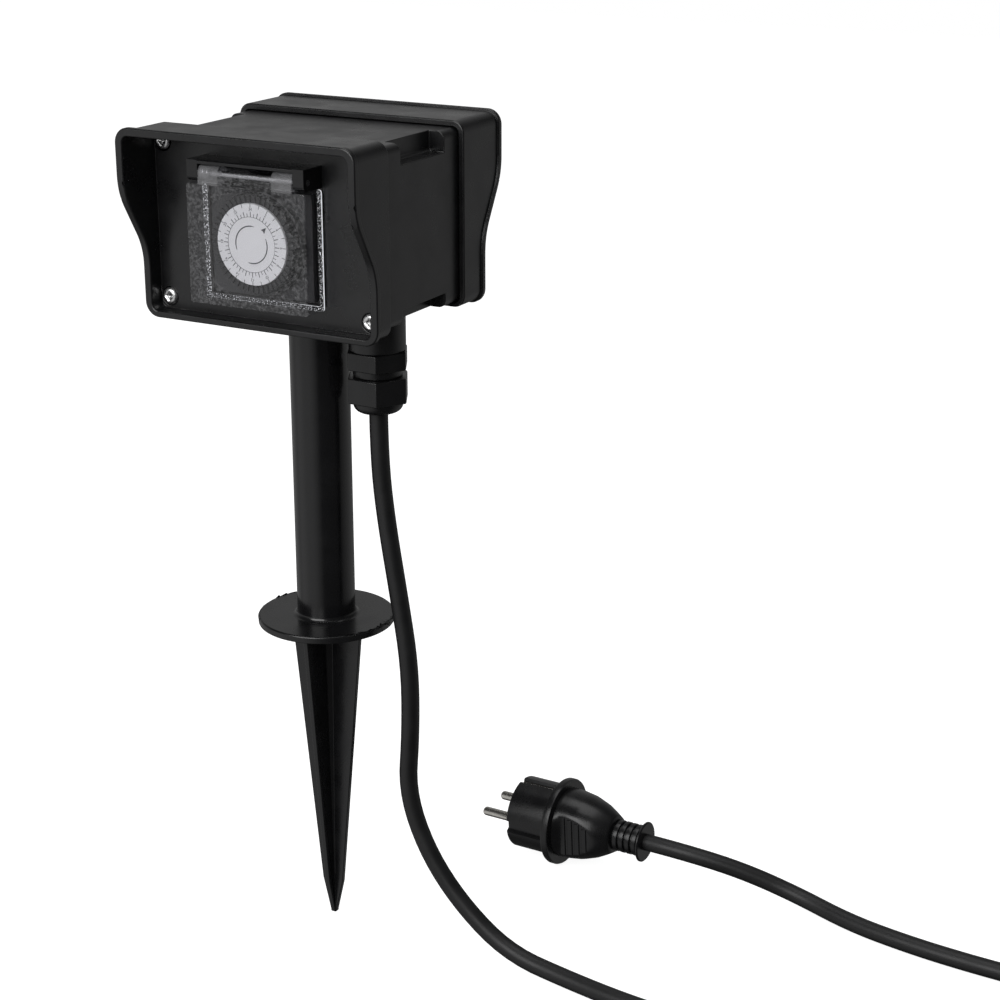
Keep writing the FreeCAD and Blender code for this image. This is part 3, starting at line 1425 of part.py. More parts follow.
os.makedirs("parts", exist_ok=True)
for name, make in PIECES.items():
    shape = make()
    print(name, "solids", len(shape.Solids), "valid", shape.isValid(), "volume", round(shape.Volume))
    shape.exportStep("parts/" + name + ".step")
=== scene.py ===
"""Outdoor socket timer on a ground spike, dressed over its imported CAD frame.

Sizes are in millimetres in the CAD's own frame: X runs to the right along the front, Y to
the back, Z up, and the origin is the middle of the spike disc's underside. A finished mesh
is in metres, and its place is in its vertices.
"""

import logging
import math
from dataclasses import dataclass
from enum import Enum
from typing import Any, Iterable, Optional, Sequence, Union

import bmesh
import bpy
from mathutils import Matrix, Vector


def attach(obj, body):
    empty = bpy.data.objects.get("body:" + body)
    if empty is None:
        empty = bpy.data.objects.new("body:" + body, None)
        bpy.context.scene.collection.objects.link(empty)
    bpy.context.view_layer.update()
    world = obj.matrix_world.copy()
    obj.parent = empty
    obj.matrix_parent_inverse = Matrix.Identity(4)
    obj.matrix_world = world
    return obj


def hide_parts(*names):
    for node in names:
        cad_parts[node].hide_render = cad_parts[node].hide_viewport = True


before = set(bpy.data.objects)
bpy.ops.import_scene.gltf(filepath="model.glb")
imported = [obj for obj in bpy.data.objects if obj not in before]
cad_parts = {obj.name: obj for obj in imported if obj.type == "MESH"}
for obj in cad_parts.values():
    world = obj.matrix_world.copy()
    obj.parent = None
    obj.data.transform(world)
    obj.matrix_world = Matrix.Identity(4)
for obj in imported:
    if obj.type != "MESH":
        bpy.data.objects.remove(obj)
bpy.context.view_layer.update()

LOG = logging.getLogger("socket_timer")
MM = 0.001
SHARP_DEG = 38.0
QUARTER = math.pi / 2
MIX_FACTOR, MIX_FIRST, MIX_SECOND, MIX_COLOUR = 0, 6, 7, 2
Colour = tuple[float, float, float]
Point = tuple[float, float, float]
Span = tuple[float, float]
Mark = tuple[float, float, float]
Ring = list[bmesh.types.BMVert]
Socket = bpy.types.NodeSocket
Piece = bpy.types.Object


class Body(Enum):
    """The bodies of the CAD frame that new pieces ride on."""

    BOX = "root"
    TIMER_LID = "timer_lid_body"
    SOCKET_LID = "socket_lid_body"
    DIAL = "dial_body"
    TAPPETS = "tappet_body"


class Slot(Enum):
    """The record's material slots of the new pieces."""

    COVER = "cover_plastic"
    BOX = "box_plastic"
    STEEL = "steel"
    BLACK = "black_plastic"
    CLEAR = "clear_plastic"
    DIAL = "grey_dial_plastic"
    TAPPET = "tappet_plastic"
    WIRE = "wire_insulation"
    POST = "post_plastic"
    CORD = "cord_rubber"
    PLUG = "plug_rubber"
    TIE = "tie_plastic"


class NodeBench:
    """Adds and links the nodes of one node tree."""

    def __init__(self, tree: bpy.types.NodeTree) -> None:
        """Starts on an emptied tree."""
        self.tree = tree
        tree.nodes.clear()

    def add(self, kind: str, inputs: Optional[dict[Any, Any]] = None,
            **settings: Any) -> bpy.types.Node:
        """Adds a node.

        Args:
            kind: the name of the node's type.
            inputs: values or sockets for its inputs, by name or number.
            settings: the node's own settings.

        Returns:
            The new node.
        """
        node = self.tree.nodes.new(kind)
        for name, value in settings.items():
            setattr(node, name, value)
        for name, value in (inputs or {}).items():
            if isinstance(value, Socket):
                self.tree.links.new(value, node.inputs[name])
            else:
                node.inputs[name].default_value = value
        return node

    def noise(self, size_mm: float, detail: float = 2.0, place: Optional[Socket] = None,
              stretch: Optional[Point] = None) -> Socket:
        """A noise pattern on object coordinates.

        Args:
            size_mm: size of its features.
            detail: how many finer layers it has.
            place: coordinates that are there already.
            stretch: share of the scale along each axis.

        Returns:
            The pattern's value, around 0.5.
        """
        place = place or self.add("ShaderNodeTexCoord").outputs["Object"]
        if stretch:
            place = self.add("ShaderNodeMapping", {"Vector": place, "Scale": stretch}).outputs[0]
        return self.add("ShaderNodeTexNoise", {
            "Vector": place, "Scale": 1.0 / (size_mm * MM), "Detail": detail}).outputs["Fac"]

    def remap(self, value: Socket, low: Any, high: Any, source: Span = (0.3, 0.7)) -> Socket:
        """Takes a value from one range to another, clamped.

        Args:
            value: the value that is taken over.
            low: what the source range's start becomes, a number or a socket.
            high: what its end becomes, a number or a socket.
            source: the range that the value comes from.

        Returns:
            The new value.
        """
        return self.add("ShaderNodeMapRange", {
            "Value": value, "From Min": source[0], "From Max": source[1],
            "To Min": low, "To Max": high}).outputs["Result"]

    def blend(self, factor: Socket, first: Colour, second: Colour) -> Socket:
        """Mixes two colours.

        Args:
            factor: the second colour's share.
            first: the colour at a share of 0.
            second: the colour at a share of 1.

        Returns:
            The mixed colour.
        """
        node = self.add("ShaderNodeMix", {
            MIX_FACTOR: factor, MIX_FIRST: (*first, 1.0), MIX_SECOND: (*second, 1.0)},
            data_type="RGBA")
        return node.outputs[MIX_COLOUR]

    def maths(self, operation: str, *values: Any) -> Socket:
        """One step of arithmetic on sockets or numbers."""
        return self.add("ShaderNodeMath", dict(enumerate(values)), operation=operation).outputs[0]

    def bump(self, height: Socket, depth_mm: float) -> Socket:
        """A normal from a height pattern of a depth."""
        return self.add("ShaderNodeBump", {
            "Height": height, "Distance": depth_mm * MM}).outputs["Normal"]

    def principled(self, **inputs: Any) -> Socket:
        """A Principled shader; an input's underscores stand for the spaces of its name."""
        named = {name.replace("_", " "): value for name, value in inputs.items()}
        return self.add("ShaderNodeBsdfPrincipled", named).outputs["BSDF"]

    def mix(self, factor: Socket, first: Socket, second: Socket) -> Socket:
        """A mix of two shaders, the second with the factor's share."""
        return self.add("ShaderNodeMixShader", {0: factor, 1: first, 2: second}).outputs[0]

    def surface(self, shader: Socket, output: str = "ShaderNodeOutputMaterial") -> None:
        """Ends the tree of a material or a world with its surface."""
        self.add(output, {"Surface": shader})


def shade(rgb: Colour, factor: float) -> Colour:
    """A colour made lighter or darker by a factor."""
    return tuple(min(1.0, channel * factor) for channel in rgb)


def opaque(rgb: Colour) -> tuple[float, ...]:
    """A colour with its full alpha."""
    return (*rgb, 1.0)


@dataclass(frozen=True)
class Finish:
    """A named finish that makes its material once."""

    name: str

    def material(self) -> bpy.types.Material:
        """Makes the material, or finds it.

        Returns:
            The finish as a material.
        """
        made = bpy.data.materials.get(self.name)
        if made is None:
            made = bpy.data.materials.new(self.name)
            made.use_nodes = True
            self.dress(NodeBench(made.node_tree))
        return made

    def dress(self, bench: NodeBench) -> None:
        """Builds the material's nodes."""
        raise NotImplementedError


@dataclass(frozen=True)
class MouldedPlastic(Finish):
    """Plastic or rubber from a mould, with fine grain and a slightly uneven gloss."""

    colour: Colour
    roughness: float = 0.42
    specular: float = 0.3
    grain_mm: float = 0.45
    grain_depth_mm: float = 0.012
    mottle: float = 0.18
    uneven_gloss: float = 0.06
    cloud_mm: float = 14.0

    def dress(self, bench: NodeBench) -> None:
        """Builds the material's nodes.

        Args:
            bench: the material's node bench.
        """
        cloud = bench.noise(self.cloud_mm, 3.0)
        colour = bench.blend(bench.remap(cloud, 0.0, 1.0), shade(self.colour, 1 - self.mottle),
                             shade(self.colour, 1 + self.mottle))
        gloss = bench.remap(cloud, self.roughness - self.uneven_gloss,
                            self.roughness + self.uneven_gloss)
        bench.surface(bench.principled(
            Base_Color=colour, Roughness=gloss, Specular_IOR_Level=self.specular,
            Normal=bench.bump(bench.noise(self.grain_mm), self.grain_depth_mm)))


@dataclass(frozen=True)
class Metal(Finish):
    """Plated or plain metal with fine wear in its gloss."""

    colour: Colour
    roughness: float = 0.25
    scratch_mm: float = 0.25
    scratch_depth_mm: float = 0.004
    scratch_stretch: Point = (1.0, 1.0, 0.2)
    patch_mm: float = 3.0
    patch_shade: float = 0.86
    uneven_gloss: float = 0.3

    def dress(self, bench: NodeBench) -> None:
        """Builds the material's nodes.

        Args:
            bench: the material's node bench.
        """
        wear = bench.noise(self.scratch_mm, 4.0, stretch=self.scratch_stretch)
        patches = bench.remap(bench.noise(self.patch_mm), 0.0, 1.0)
        gloss = bench.remap(wear, self.roughness * (1 - self.uneven_gloss),
                            self.roughness * (1 + self.uneven_gloss))
        bench.surface(bench.principled(
            Base_Color=bench.blend(patches, shade(self.colour, self.patch_shade), self.colour),
            Roughness=gloss, Metallic=1.0, Normal=bench.bump(wear, self.scratch_depth_mm)))


@dataclass(frozen=True)
class GrainedClearPlastic(Finish):
    """The timer lid's clear plastic: veiled in front, pebbled, and with a painted highlight at its
    rim.
    """

    veil_colour: Colour
    window_radius_mm: float
    window_z_mm: float
    front_y_mm: float
    rim_y_mm: float
    neck_z_mm: float
    veil: float = 0.06
    knuckle_veil: float = 0.3
    knuckles_mm: Span = (14.0, 25.0)
    border_mm: float = 0.4
    front_depth_mm: Span = (0.3, 0.6)
    # Sizes of the painted rim highlight: a glowing line on the right, painted sparkles on the left
    # and below.
    line_mm: float = 0.9
    line_share: float = 0.9
    line_from_x_mm: float = 19.0
    sparkle_depth_mm: float = 1.5
    sparkle_mm: float = 0.55
    sparkle_share: float = 0.8
    painted_rim_glow: float = 0.8
    pebble_mm: float = 1.2
    pebble_depth_mm: float = 0.05
    speck_veil: Span = (-0.11, 0.13)
    speck_cut: Span = (0.36, 0.64)
    sparkle_cut: Span = (0.56, 0.64)
    fog_roughness: float = 0.4
    fog_specular: float = 0.3
    painted_highlight_roughness: float = 0.3
    glint_roughness: float = 0.08
    ior: float = 1.5
    tint: Colour = (0.97, 0.97, 0.98)
    painted_highlight_colour: Colour = (0.9, 0.9, 0.92)
    painted_glow_colour: Colour = (0.95, 0.97, 1.0)

    def dress(self, bench: NodeBench) -> None:
        """Builds the material's nodes.

        Args:
            bench: the material's node bench.
        """
        place = bench.add("ShaderNodeTexCoord").outputs["Object"]
        spot = bench.add("ShaderNodeSeparateXYZ", {"Vector": place}).outputs
        faces = bench.add("ShaderNodeNewGeometry").outputs
        outside = bench.maths("SUBTRACT", 1.0, faces["Backfacing"])
        pebbled = self._pebbled(bench, spot)
        pebbles = bench.add("ShaderNodeTexVoronoi", {
            "Vector": place, "Scale": 1.0 / (self.pebble_mm * MM)}).outputs["Distance"]
        normal = bench.bump(bench.maths("MULTIPLY", pebbles, pebbled), self.pebble_depth_mm)
        fog = bench.principled(Base_Color=opaque(self.veil_colour),
                               Roughness=self.fog_roughness,
                               Specular_IOR_Level=self.fog_specular, Normal=normal)
        clear = bench.add("ShaderNodeBsdfTransparent", {"Color": opaque(self.tint)})
        sheet = bench.mix(self._veil(bench, place, spot, pebbled), clear.outputs[0], fog)
        # Painted highlight: a white surface with its own glow stands in for light caught in the
        # lid's cut edge.
        edge = bench.principled(Base_Color=opaque(self.painted_highlight_colour),
                                Roughness=self.painted_highlight_roughness,
                                Emission_Color=opaque(self.painted_glow_colour),
                                Emission_Strength=self.painted_rim_glow)
        facing = bench.add("ShaderNodeSeparateXYZ", {"Vector": faces["True Normal"]}).outputs["Y"]
        side = bench.maths("SUBTRACT", 1.0, bench.maths("ABSOLUTE", facing))
        wall = bench.maths("MULTIPLY", side, outside)
        with_painted_highlight = bench.mix(self._painted_highlight(bench, place, spot, wall), sheet, edge)
        glint = bench.add("ShaderNodeBsdfGlossy", {
            "Roughness": self.glint_roughness, "Normal": normal})
        fresnel = bench.add("ShaderNodeFresnel", {"IOR": self.ior, "Normal": normal})
        mirrored = bench.maths("MULTIPLY", fresnel.outputs[0], outside)
        bench.surface(bench.mix(mirrored, with_painted_highlight, glint.outputs[0]))

    def _pebbled(self, bench: NodeBench, spot: Any) -> Socket:
        """Finds where the plastic is pebbled: all of it but the round window.

        Args:
            bench: the material's node bench.
            spot: object coordinates as three values.

        Returns:
            The pebbled share, from 0 to 1.
        """
        lifted = bench.maths("SUBTRACT", spot["Z"], self.window_z_mm * MM)
        squares = [bench.maths("MULTIPLY", value, value) for value in (spot["X"], lifted)]
        reach = bench.maths("SQRT", bench.maths("ADD", *squares))
        window = [(self.window_radius_mm + side * self.border_mm) * MM for side in (-1, 1)]
        return bench.remap(reach, 0.0, 1.0, window)

    def _veil(self, bench: NodeBench, place: Socket, spot: Any, pebbled: Socket) -> Socket:
        """Finds how milky the plastic is: its outer front and its two hinge knuckles.

        Args:
            bench: the material's node bench.
            place: object coordinates.
            spot: the same, as three values.
            pebbled: where it is pebbled.

        Returns:
            The milky share.
        """
        front = bench.remap(spot["Y"], 1.0, 0.0,
                            [(self.front_y_mm + depth) * MM for depth in self.front_depth_mm])
        speck = bench.remap(bench.noise(self.pebble_mm, 2.0, place), *self.speck_veil,
                            self.speck_cut)
        milk = bench.maths("ADD", self.veil, bench.maths("MULTIPLY", speck, pebbled))
        inner, outer = self.knuckles_mm
        border = self.border_mm
        away = bench.maths("ABSOLUTE", spot["X"])
        block = bench.maths("MULTIPLY",
                            bench.remap(away, 0.0, 1.0, (inner * MM, (inner + border) * MM)),
                            bench.remap(away, 1.0, 0.0, ((outer - border) * MM, outer * MM)))
        above = bench.remap(spot["Z"], 0.0, self.knuckle_veil,
                            (self.neck_z_mm * MM, (self.neck_z_mm + border) * MM))
        return bench.maths("MAXIMUM", bench.maths("MULTIPLY", front, milk),
                           bench.maths("MULTIPLY", block, above))

    def _painted_highlight(self, bench: NodeBench, place: Socket, spot: Any, wall: Socket) -> Socket:
        """Finds the painted rim highlight: a line on the right, sparkles on the left and below.

        Args:
            bench: the material's node bench.
            place: object coordinates.
            spot: the same, as three values.
            wall: where a side wall is seen from outside.

        Returns:
            The painted highlight's share, from 0 to 1.
        """
        line = (self.rim_y_mm - self.line_mm) * MM
        sparkle = (self.rim_y_mm - self.sparkle_depth_mm) * MM
        right = bench.remap(spot["X"], 0.0, self.line_share,
                            (self.line_from_x_mm * MM, (self.line_from_x_mm + 1) * MM))
        whole = bench.maths("MULTIPLY", bench.maths("MULTIPLY", right, wall),
                            bench.remap(spot["Y"], 0.0, 1.0, (line - 0.1 * MM, line)))
        # Painted sparkles: bright flecks of the painted highlight along the left and lower edge.
        painted_sparkles = bench.remap(bench.noise(self.sparkle_mm, 3.0, place), 0.0,
                             self.sparkle_share, self.sparkle_cut)
        broken = bench.maths("MULTIPLY", painted_sparkles,
                             bench.remap(spot["Y"], 0.0, 1.0, (sparkle, line)))
        return bench.maths("MAXIMUM", whole, broken)


COVER_PLASTIC = MouldedPlastic("black_cover_plastic", (0.0055, 0.0055, 0.006), 0.3, 0.5)
BOX_PLASTIC = MouldedPlastic("black_box_plastic", (0.0055, 0.0055, 0.006), 0.32, 0.5)
POST_PLASTIC = MouldedPlastic("black_post_plastic", (0.0045, 0.0045, 0.005), 0.2, 0.5,
                              grain_mm=0.8)
SPIKE_PLASTIC = MouldedPlastic("black_spike_plastic", (0.005, 0.005, 0.0055), 0.26, 0.5,
                               grain_mm=0.8)
BLACK_PLASTIC = MouldedPlastic("black_hinge_plastic", (0.004, 0.004, 0.0045), 0.22, 0.5)
PLATE_PLASTIC = MouldedPlastic("grained_timer_plate", (0.022, 0.022, 0.023), 0.55, 0.3,
                               0.9, 0.05)
TAPPET_PLASTIC = MouldedPlastic("dark_tappet_plastic", (0.02, 0.02, 0.021), 0.6, 0.25)
DIAL_PLASTIC = MouldedPlastic("light_grey_dial", (0.63, 0.63, 0.64), 0.5, 0.3, 0.5, 0.006,
                              mottle=0.03)
DIAL_INK = MouldedPlastic("dial_ink", (0.06, 0.06, 0.065), 0.6, 0.2)
GLAND_PLASTIC = MouldedPlastic("black_gland_plastic", (0.005, 0.005, 0.0055), 0.3, 0.45)
SEAL_RUBBER = MouldedPlastic("seal_rubber", (0.012, 0.012, 0.012), 0.7, 0.2)
CORD_RUBBER = MouldedPlastic("black_cord_rubber", (0.006, 0.006, 0.0065), 0.46, 0.4, 0.4, 0.008)
PLUG_RUBBER = MouldedPlastic("black_plug_rubber", (0.005, 0.005, 0.0055), 0.28, 0.4, 0.35, 0.004)
TIE_PLASTIC = MouldedPlastic("dark_tie_plastic", (0.02, 0.02, 0.02), 0.55, 0.25)
GEAR_PLASTIC = MouldedPlastic("white_gear_plastic", (0.62, 0.6, 0.54), 0.4, 0.4, mottle=0.05)
CASE_PLASTIC = MouldedPlastic("grey_case_plastic", (0.2, 0.2, 0.2), 0.5, 0.3)
WIRE_SKIN = MouldedPlastic("brown_wire_skin", (0.08, 0.03, 0.012), 0.4, 0.4)
TERMINAL_PLASTIC = MouldedPlastic("terminal_plastic", (0.5, 0.49, 0.46), 0.45, 0.35, mottle=0.05)
SCREW_STEEL = Metal("screw_steel", (0.8, 0.8, 0.8), 0.3)
PIN_PLATING = Metal("nickel_plating", (0.66, 0.64, 0.6), 0.16)
SPRING_STEEL = Metal("spring_steel", (0.55, 0.55, 0.56), 0.22)
BRASS = Metal("yellow_brass", (0.7, 0.5, 0.2), 0.28)
LID_PLASTIC = GrainedClearPlastic("clear_lid_plastic", (0.3, 0.3, 0.31), window_radius_mm=24.0,
                                  window_z_mm=196.7, front_y_mm=-56.0, rim_y_mm=-42.3,
                                  neck_z_mm=222.0)


def metres(point: Sequence[float]) -> Point:
    """A place or size in millimetres taken to metres."""
    return tuple(value * MM for value in point)


def add_object(name: str, data: bpy.types.ID) -> Piece:
    """Adds an object to the scene.

    Args:
        name: the object's name.
        data: its mesh, curve, lamp or camera.

    Returns:
        The new object.
    """
    made = bpy.data.objects.new(name, data)
    bpy.context.scene.collection.objects.link(made)
    return made


def smooth(piece: Piece, sharp_deg: float = SHARP_DEG) -> None:
    """Shades a piece smooth, apart from its edges over an angle."""
    piece.data.shade_smooth()
    piece.data.set_sharp_from_angle(angle=math.radians(sharp_deg))


def axes(x: Vector, y: Vector, z: Vector, origin: Vector) -> Matrix:
    """The matrix of a frame with these unit axes and this origin."""
    return Matrix.Translation(origin) @ Matrix((x, y, z)).transposed().to_4x4()


class Modeller:
    """Builds the mesh of one piece in millimetres."""

    MERGE_MM = 0.002
    FLAT_DEG = 0.5
    ROUNDING_STEPS = 2

    def __init__(self, name: str) -> None:
        """Starts with no faces."""
        self.name = name
        self.mesh = bmesh.new()

    def ring(self, points: Iterable[Sequence[float]]) -> Ring:
        """Adds the points of one ring and returns them."""
        return [self.mesh.verts.new(point) for point in points]

    def skin(self, rings: Sequence[Ring]) -> None:
        """Joins each ring to the next by faces.

        Args:
            rings: rings with as many points each.
        """
        for lower, upper in zip(rings, rings[1:]):
            for index in range(len(lower)):
                after = (index + 1) % len(lower)
                self.mesh.faces.new((lower[index], lower[after], upper[after], upper[index]))

    def loft(self, rings: Iterable[Iterable[Sequence[float]]], topped: bool = True) -> Ring:
        """Adds a body through rings of points, with flat ends.

        Args:
            rings: the points of each ring.
            topped: whether the last ring is closed too.

        Returns:
            The last ring.
        """
        made = [self.ring(points) for points in rings]
        self.skin(made)
        self.mesh.faces.new(list(reversed(made[0])))
        if topped:
            self.mesh.faces.new(made[-1])
        return made[-1]

    def lathe(self, profile: Sequence[Span], steps: int, shift: float = 0.0,
              topped: bool = True) -> Ring:
        """Adds a turned body about Z.

        Args:
            profile: radius and height of each point along its outline.
            steps: how many faces go round.
            shift: how far its axis is moved along Y.
            topped: whether the last ring is closed too.

        Returns:
            The last ring.
        """
        angles = [math.tau * step / steps for step in range(steps)]
        return self.loft(([(radius * math.cos(a), radius * math.sin(a) + shift, height)
                           for a in angles] for radius, height in profile), topped)

    def add_node(self, node: str) -> None:
        """Takes a copy of a CAD node's mesh, merged and with its flat faces joined.

        Args:
            node: the CAD node's name.
        """
        copy = bmesh.new()
        copy.from_mesh(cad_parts[node].data)
        bmesh.ops.scale(copy, vec=(1 / MM,) * 3, verts=copy.verts)
        bmesh.ops.remove_doubles(copy, verts=copy.verts, dist=self.MERGE_MM)
        bmesh.ops.dissolve_limit(copy, angle_limit=math.radians(self.FLAT_DEG),
                                 verts=copy.verts, edges=copy.edges)
        mesh = bpy.data.meshes.new(node)
        copy.to_mesh(mesh)
        copy.free()
        self.mesh.from_mesh(mesh)
        bpy.data.meshes.remove(mesh)

    def place(self, matrix: Matrix) -> None:
        """Moves what is there so far by a matrix in millimetres."""
        bmesh.ops.transform(self.mesh, matrix=matrix, verts=self.mesh.verts)

    def piece(self, finish: Finish, rounding_mm: float = 0.0, outward: bool = True,
              sharp_deg: float = SHARP_DEG) -> Piece:
        """Ends the mesh as an object in metres.

        Args:
            finish: the finish of all its faces.
            rounding_mm: width of the rounding on its sharp edges.
            outward: whether its normals are worked out again.
            sharp_deg: the angle from which an edge stays sharp.

        Returns:
            The new object.
        """
        if outward:
            bmesh.ops.recalc_face_normals(self.mesh, faces=self.mesh.faces)
        bmesh.ops.scale(self.mesh, vec=(MM,) * 3, verts=self.mesh.verts)
        mesh = bpy.data.meshes.new(self.name)
        self.mesh.to_mesh(mesh)
        self.mesh.free()
        mesh.materials.append(finish.material())
        made = add_object(self.name, mesh)
        smooth(made, sharp_deg)
        if rounding_mm:
            edge = made.modifiers.new("edge_rounding", "BEVEL")
            edge.width = rounding_mm * MM
            edge.segments = self.ROUNDING_STEPS
            edge.limit_method = "ANGLE"
            edge.angle_limit = math.radians(sharp_deg)
            edge.use_clamp_overlap = False
        flat = made.modifiers.new("flat_faces", "WEIGHTED_NORMAL")
        flat.keep_sharp = True
        return made


def settle(piece: Piece, body: Body, slot: Slot, *nodes: str) -> Piece:
    """Gives a piece its body and hides the CAD nodes that it stands for.

    Args:
        piece: the finished piece.
        body: the body that carries it.
        slot: the record's slot of the piece; not used.
        nodes: the CAD nodes that it replaces.

    Returns:
        The same piece.
    """
    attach(piece, body.value)
    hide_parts(*nodes)
    LOG.info("%s rides on %s", piece.name, body.value)
    return piece


class GeometryRecipe:
    """A Geometry Nodes tree with named inputs, used once and then made a plain mesh."""

    def __init__(self, name: str) -> None:
        """Starts the tree with its geometry in and out.

        Args:
            name: the name of the tree and of the piece that it makes.
        """
        self.name = name
        self.tree = bpy.data.node_groups.new(name, "GeometryNodeTree")
        self.bench = NodeBench(self.tree)
        for way in ("INPUT", "OUTPUT"):
            self.tree.interface.new_socket("Geometry", in_out=way,
                                           socket_type="NodeSocketGeometry")
        self.values: dict[str, Any] = {}
        self.start = self.bench.add("NodeGroupInput")

    def size(self, name: str, value: Any) -> Socket:
        """Adds a named input and remembers the value that it is given.

        Args:
            name: the input's name.
            value: a whole number, a number in metres or radians, or a vector in metres.

        Returns:
            The socket that carries it inside the tree.
        """
        kinds = {int: "NodeSocketInt", float: "NodeSocketFloat", tuple: "NodeSocketVector"}
        socket = self.tree.interface.new_socket(name, in_out="INPUT",
                                                socket_type=kinds[type(value)])
        self.values[socket.identifier] = value
        return self.start.outputs[name]

    def turned(self, geometry: Socket, turn: Any, move: Any = (0.0, 0.0, 0.0)) -> Socket:
        """Turns and moves a geometry.

        Args:
            geometry: what is turned.
            turn: the angles about the three axes.
            move: how far it is moved after that.

        Returns:
            The geometry in its new place.
        """
        return self.bench.add("GeometryNodeTransform", {
            "Geometry": geometry, "Rotation": turn, "Translation": move}).outputs["Geometry"]

    def make(self, result: Socket, finish: Finish, base: Optional[Piece] = None) -> Piece:
        """Ends the tree and turns its result into a plain piece.

        Args:
            result: the geometry to end with.
            finish: the finish of its faces.
            base: an object whose mesh is the tree's geometry input; it is used up.

        Returns:
            The new object.
        """
        real = self.bench.add("GeometryNodeRealizeInstances", {"Geometry": result})
        painted = self.bench.add("GeometryNodeSetMaterial", {
            "Geometry": real.outputs["Geometry"], "Material": finish.material()})
        self.bench.add("NodeGroupOutput", {"Geometry": painted.outputs["Geometry"]})
        base = base or add_object(self.name, bpy.data.meshes.new(self.name))
        modifier = base.modifiers.new("recipe", "NODES")
        modifier.node_group = self.tree
        for identifier, value in self.values.items():
            modifier[identifier] = value
        graph = bpy.context.evaluated_depsgraph_get()
        mesh = bpy.data.meshes.new_from_object(base.evaluated_get(graph))
        mesh.name = self.name
        base.modifiers.clear()
        bpy.data.objects.remove(base)
        made = add_object(self.name, mesh)
        if not mesh.materials:
            mesh.materials.append(finish.material())
        smooth(made)
        return made


@dataclass(frozen=True)
class BarRing:
    """Equal bars on a circle about Y, such as marks or tappets."""

    name: str
    count: int
    radius: float
    bar: Point
    centre: Point
    turn_deg: float = 0.0

    def build(self, finish: Finish) -> Piece:
        """Makes the ring of bars.

        Args:
            finish: the finish of the bars.

        Returns:
            The finished piece.
        """
        recipe = GeometryRecipe(self.name)
        bench = recipe.bench
        count = recipe.size("Count", self.count)
        radius = recipe.size("Middle Radius", self.radius * MM)
        bar = recipe.size("Bar Size", metres(self.bar))
        centre = recipe.size("Centre", metres(self.centre))
        turn = recipe.size("First Turn", math.radians(self.turn_deg))
        circle = bench.add("GeometryNodeMeshCircle", {"Vertices": count, "Radius": radius})
        solid = bench.add("GeometryNodeMeshCube", {"Size": bar})
        index = bench.add("GeometryNodeInputIndex").outputs["Index"]
        angle = bench.maths("MULTIPLY", index, bench.maths("DIVIDE", math.tau, count))
        facing = bench.add("ShaderNodeCombineXYZ", {"Z": angle}).outputs["Vector"]
        spread = bench.add("GeometryNodeInstanceOnPoints", {
            "Points": circle.outputs["Mesh"], "Instance": solid.outputs["Mesh"],
            "Rotation": facing})
        spin = bench.add("ShaderNodeCombineXYZ", {"Z": turn}).outputs["Vector"]
        spun = recipe.turned(spread.outputs["Instances"], spin)
        return recipe.make(recipe.turned(spun, (QUARTER, 0.0, 0.0), centre), finish)


@dataclass(frozen=True)
class FourCorners:
    """One form repeated at the four corners of an upright rectangle."""

    name: str
    half_width: float
    half_height: float
    centre: Point

    def build(self, form: Piece, finish: Finish) -> Piece:
        """Repeats the form, whose own middle is at the origin and which faces forward.

        Args:
            form: the form to repeat; it is used up.
            finish: the finish of all four.

        Returns:
            The finished piece.
        """
        recipe = GeometryRecipe(self.name)
        bench = recipe.bench
        width = recipe.size("Width", 2 * self.half_width * MM)
        height = recipe.size("Height", 2 * self.half_height * MM)
        centre = recipe.size("Centre", metres(self.centre))
        grid = bench.add("GeometryNodeMeshGrid", {
            "Size X": width, "Size Y": height, "Vertices X": 2, "Vertices Y": 2})
        stood = recipe.turned(grid.outputs["Mesh"], (QUARTER, 0.0, 0.0), centre)
        points = bench.add("GeometryNodeMeshToPoints", {"Mesh": stood})
        spread = bench.add("GeometryNodeInstanceOnPoints", {
            "Points": points.outputs["Points"], "Instance": recipe.start.outputs["Geometry"]})
        return recipe.make(spread.outputs["Instances"], finish, form)


@dataclass(frozen=True)
class WireCoil:
    """A round wire wound about the X axis."""

    name: str
    turns: float
    pitch: float
    radius: float
    wire: float
    start: Point
    turn_steps: int = 24
    wire_steps: int = 8

    def build(self, finish: Finish) -> Piece:
        """Makes the wound wire.

        Args:
            finish: the wire's finish.

        Returns:
            The finished piece.
        """
        recipe = GeometryRecipe(self.name)
        bench = recipe.bench
        turns = recipe.size("Turns", self.turns)
        length = recipe.size("Length", self.turns * self.pitch * MM)
        radius = recipe.size("Coil Radius", self.radius * MM)
        wire = recipe.size("Wire Radius", self.wire * MM)
        start = recipe.size("Start", metres(self.start))
        spiral = bench.add("GeometryNodeCurveSpiral", {
            "Resolution": self.turn_steps, "Rotations": turns, "Start Radius": radius,
            "End Radius": radius, "Height": length})
        profile = bench.add("GeometryNodeCurvePrimitiveCircle", {
            "Resolution": self.wire_steps, "Radius": wire})
        tube = bench.add("GeometryNodeCurveToMesh", {
            "Curve": spiral.outputs["Curve"], "Profile Curve": profile.outputs["Curve"],
            "Fill Caps": True})
        return recipe.make(recipe.turned(tube.outputs["Mesh"], (0.0, QUARTER, 0.0), start),
                           finish)


@dataclass(frozen=True)
class Dressed:
    """A CAD node whose form is right, remade with rounded edges and a finish."""

    node: str
    finish: Finish
    body: Body
    slot: Slot
    rounding: float = 0.25

    def build(self) -> Piece:
        """Makes the dressed copy and puts it in the node's place.

        Returns:
            The finished piece.
        """
        maker = Modeller(self.node + "_dressed")
        maker.add_node(self.node)
        return settle(maker.piece(self.finish, self.rounding, outward=False), self.body,
                      self.slot, self.node)


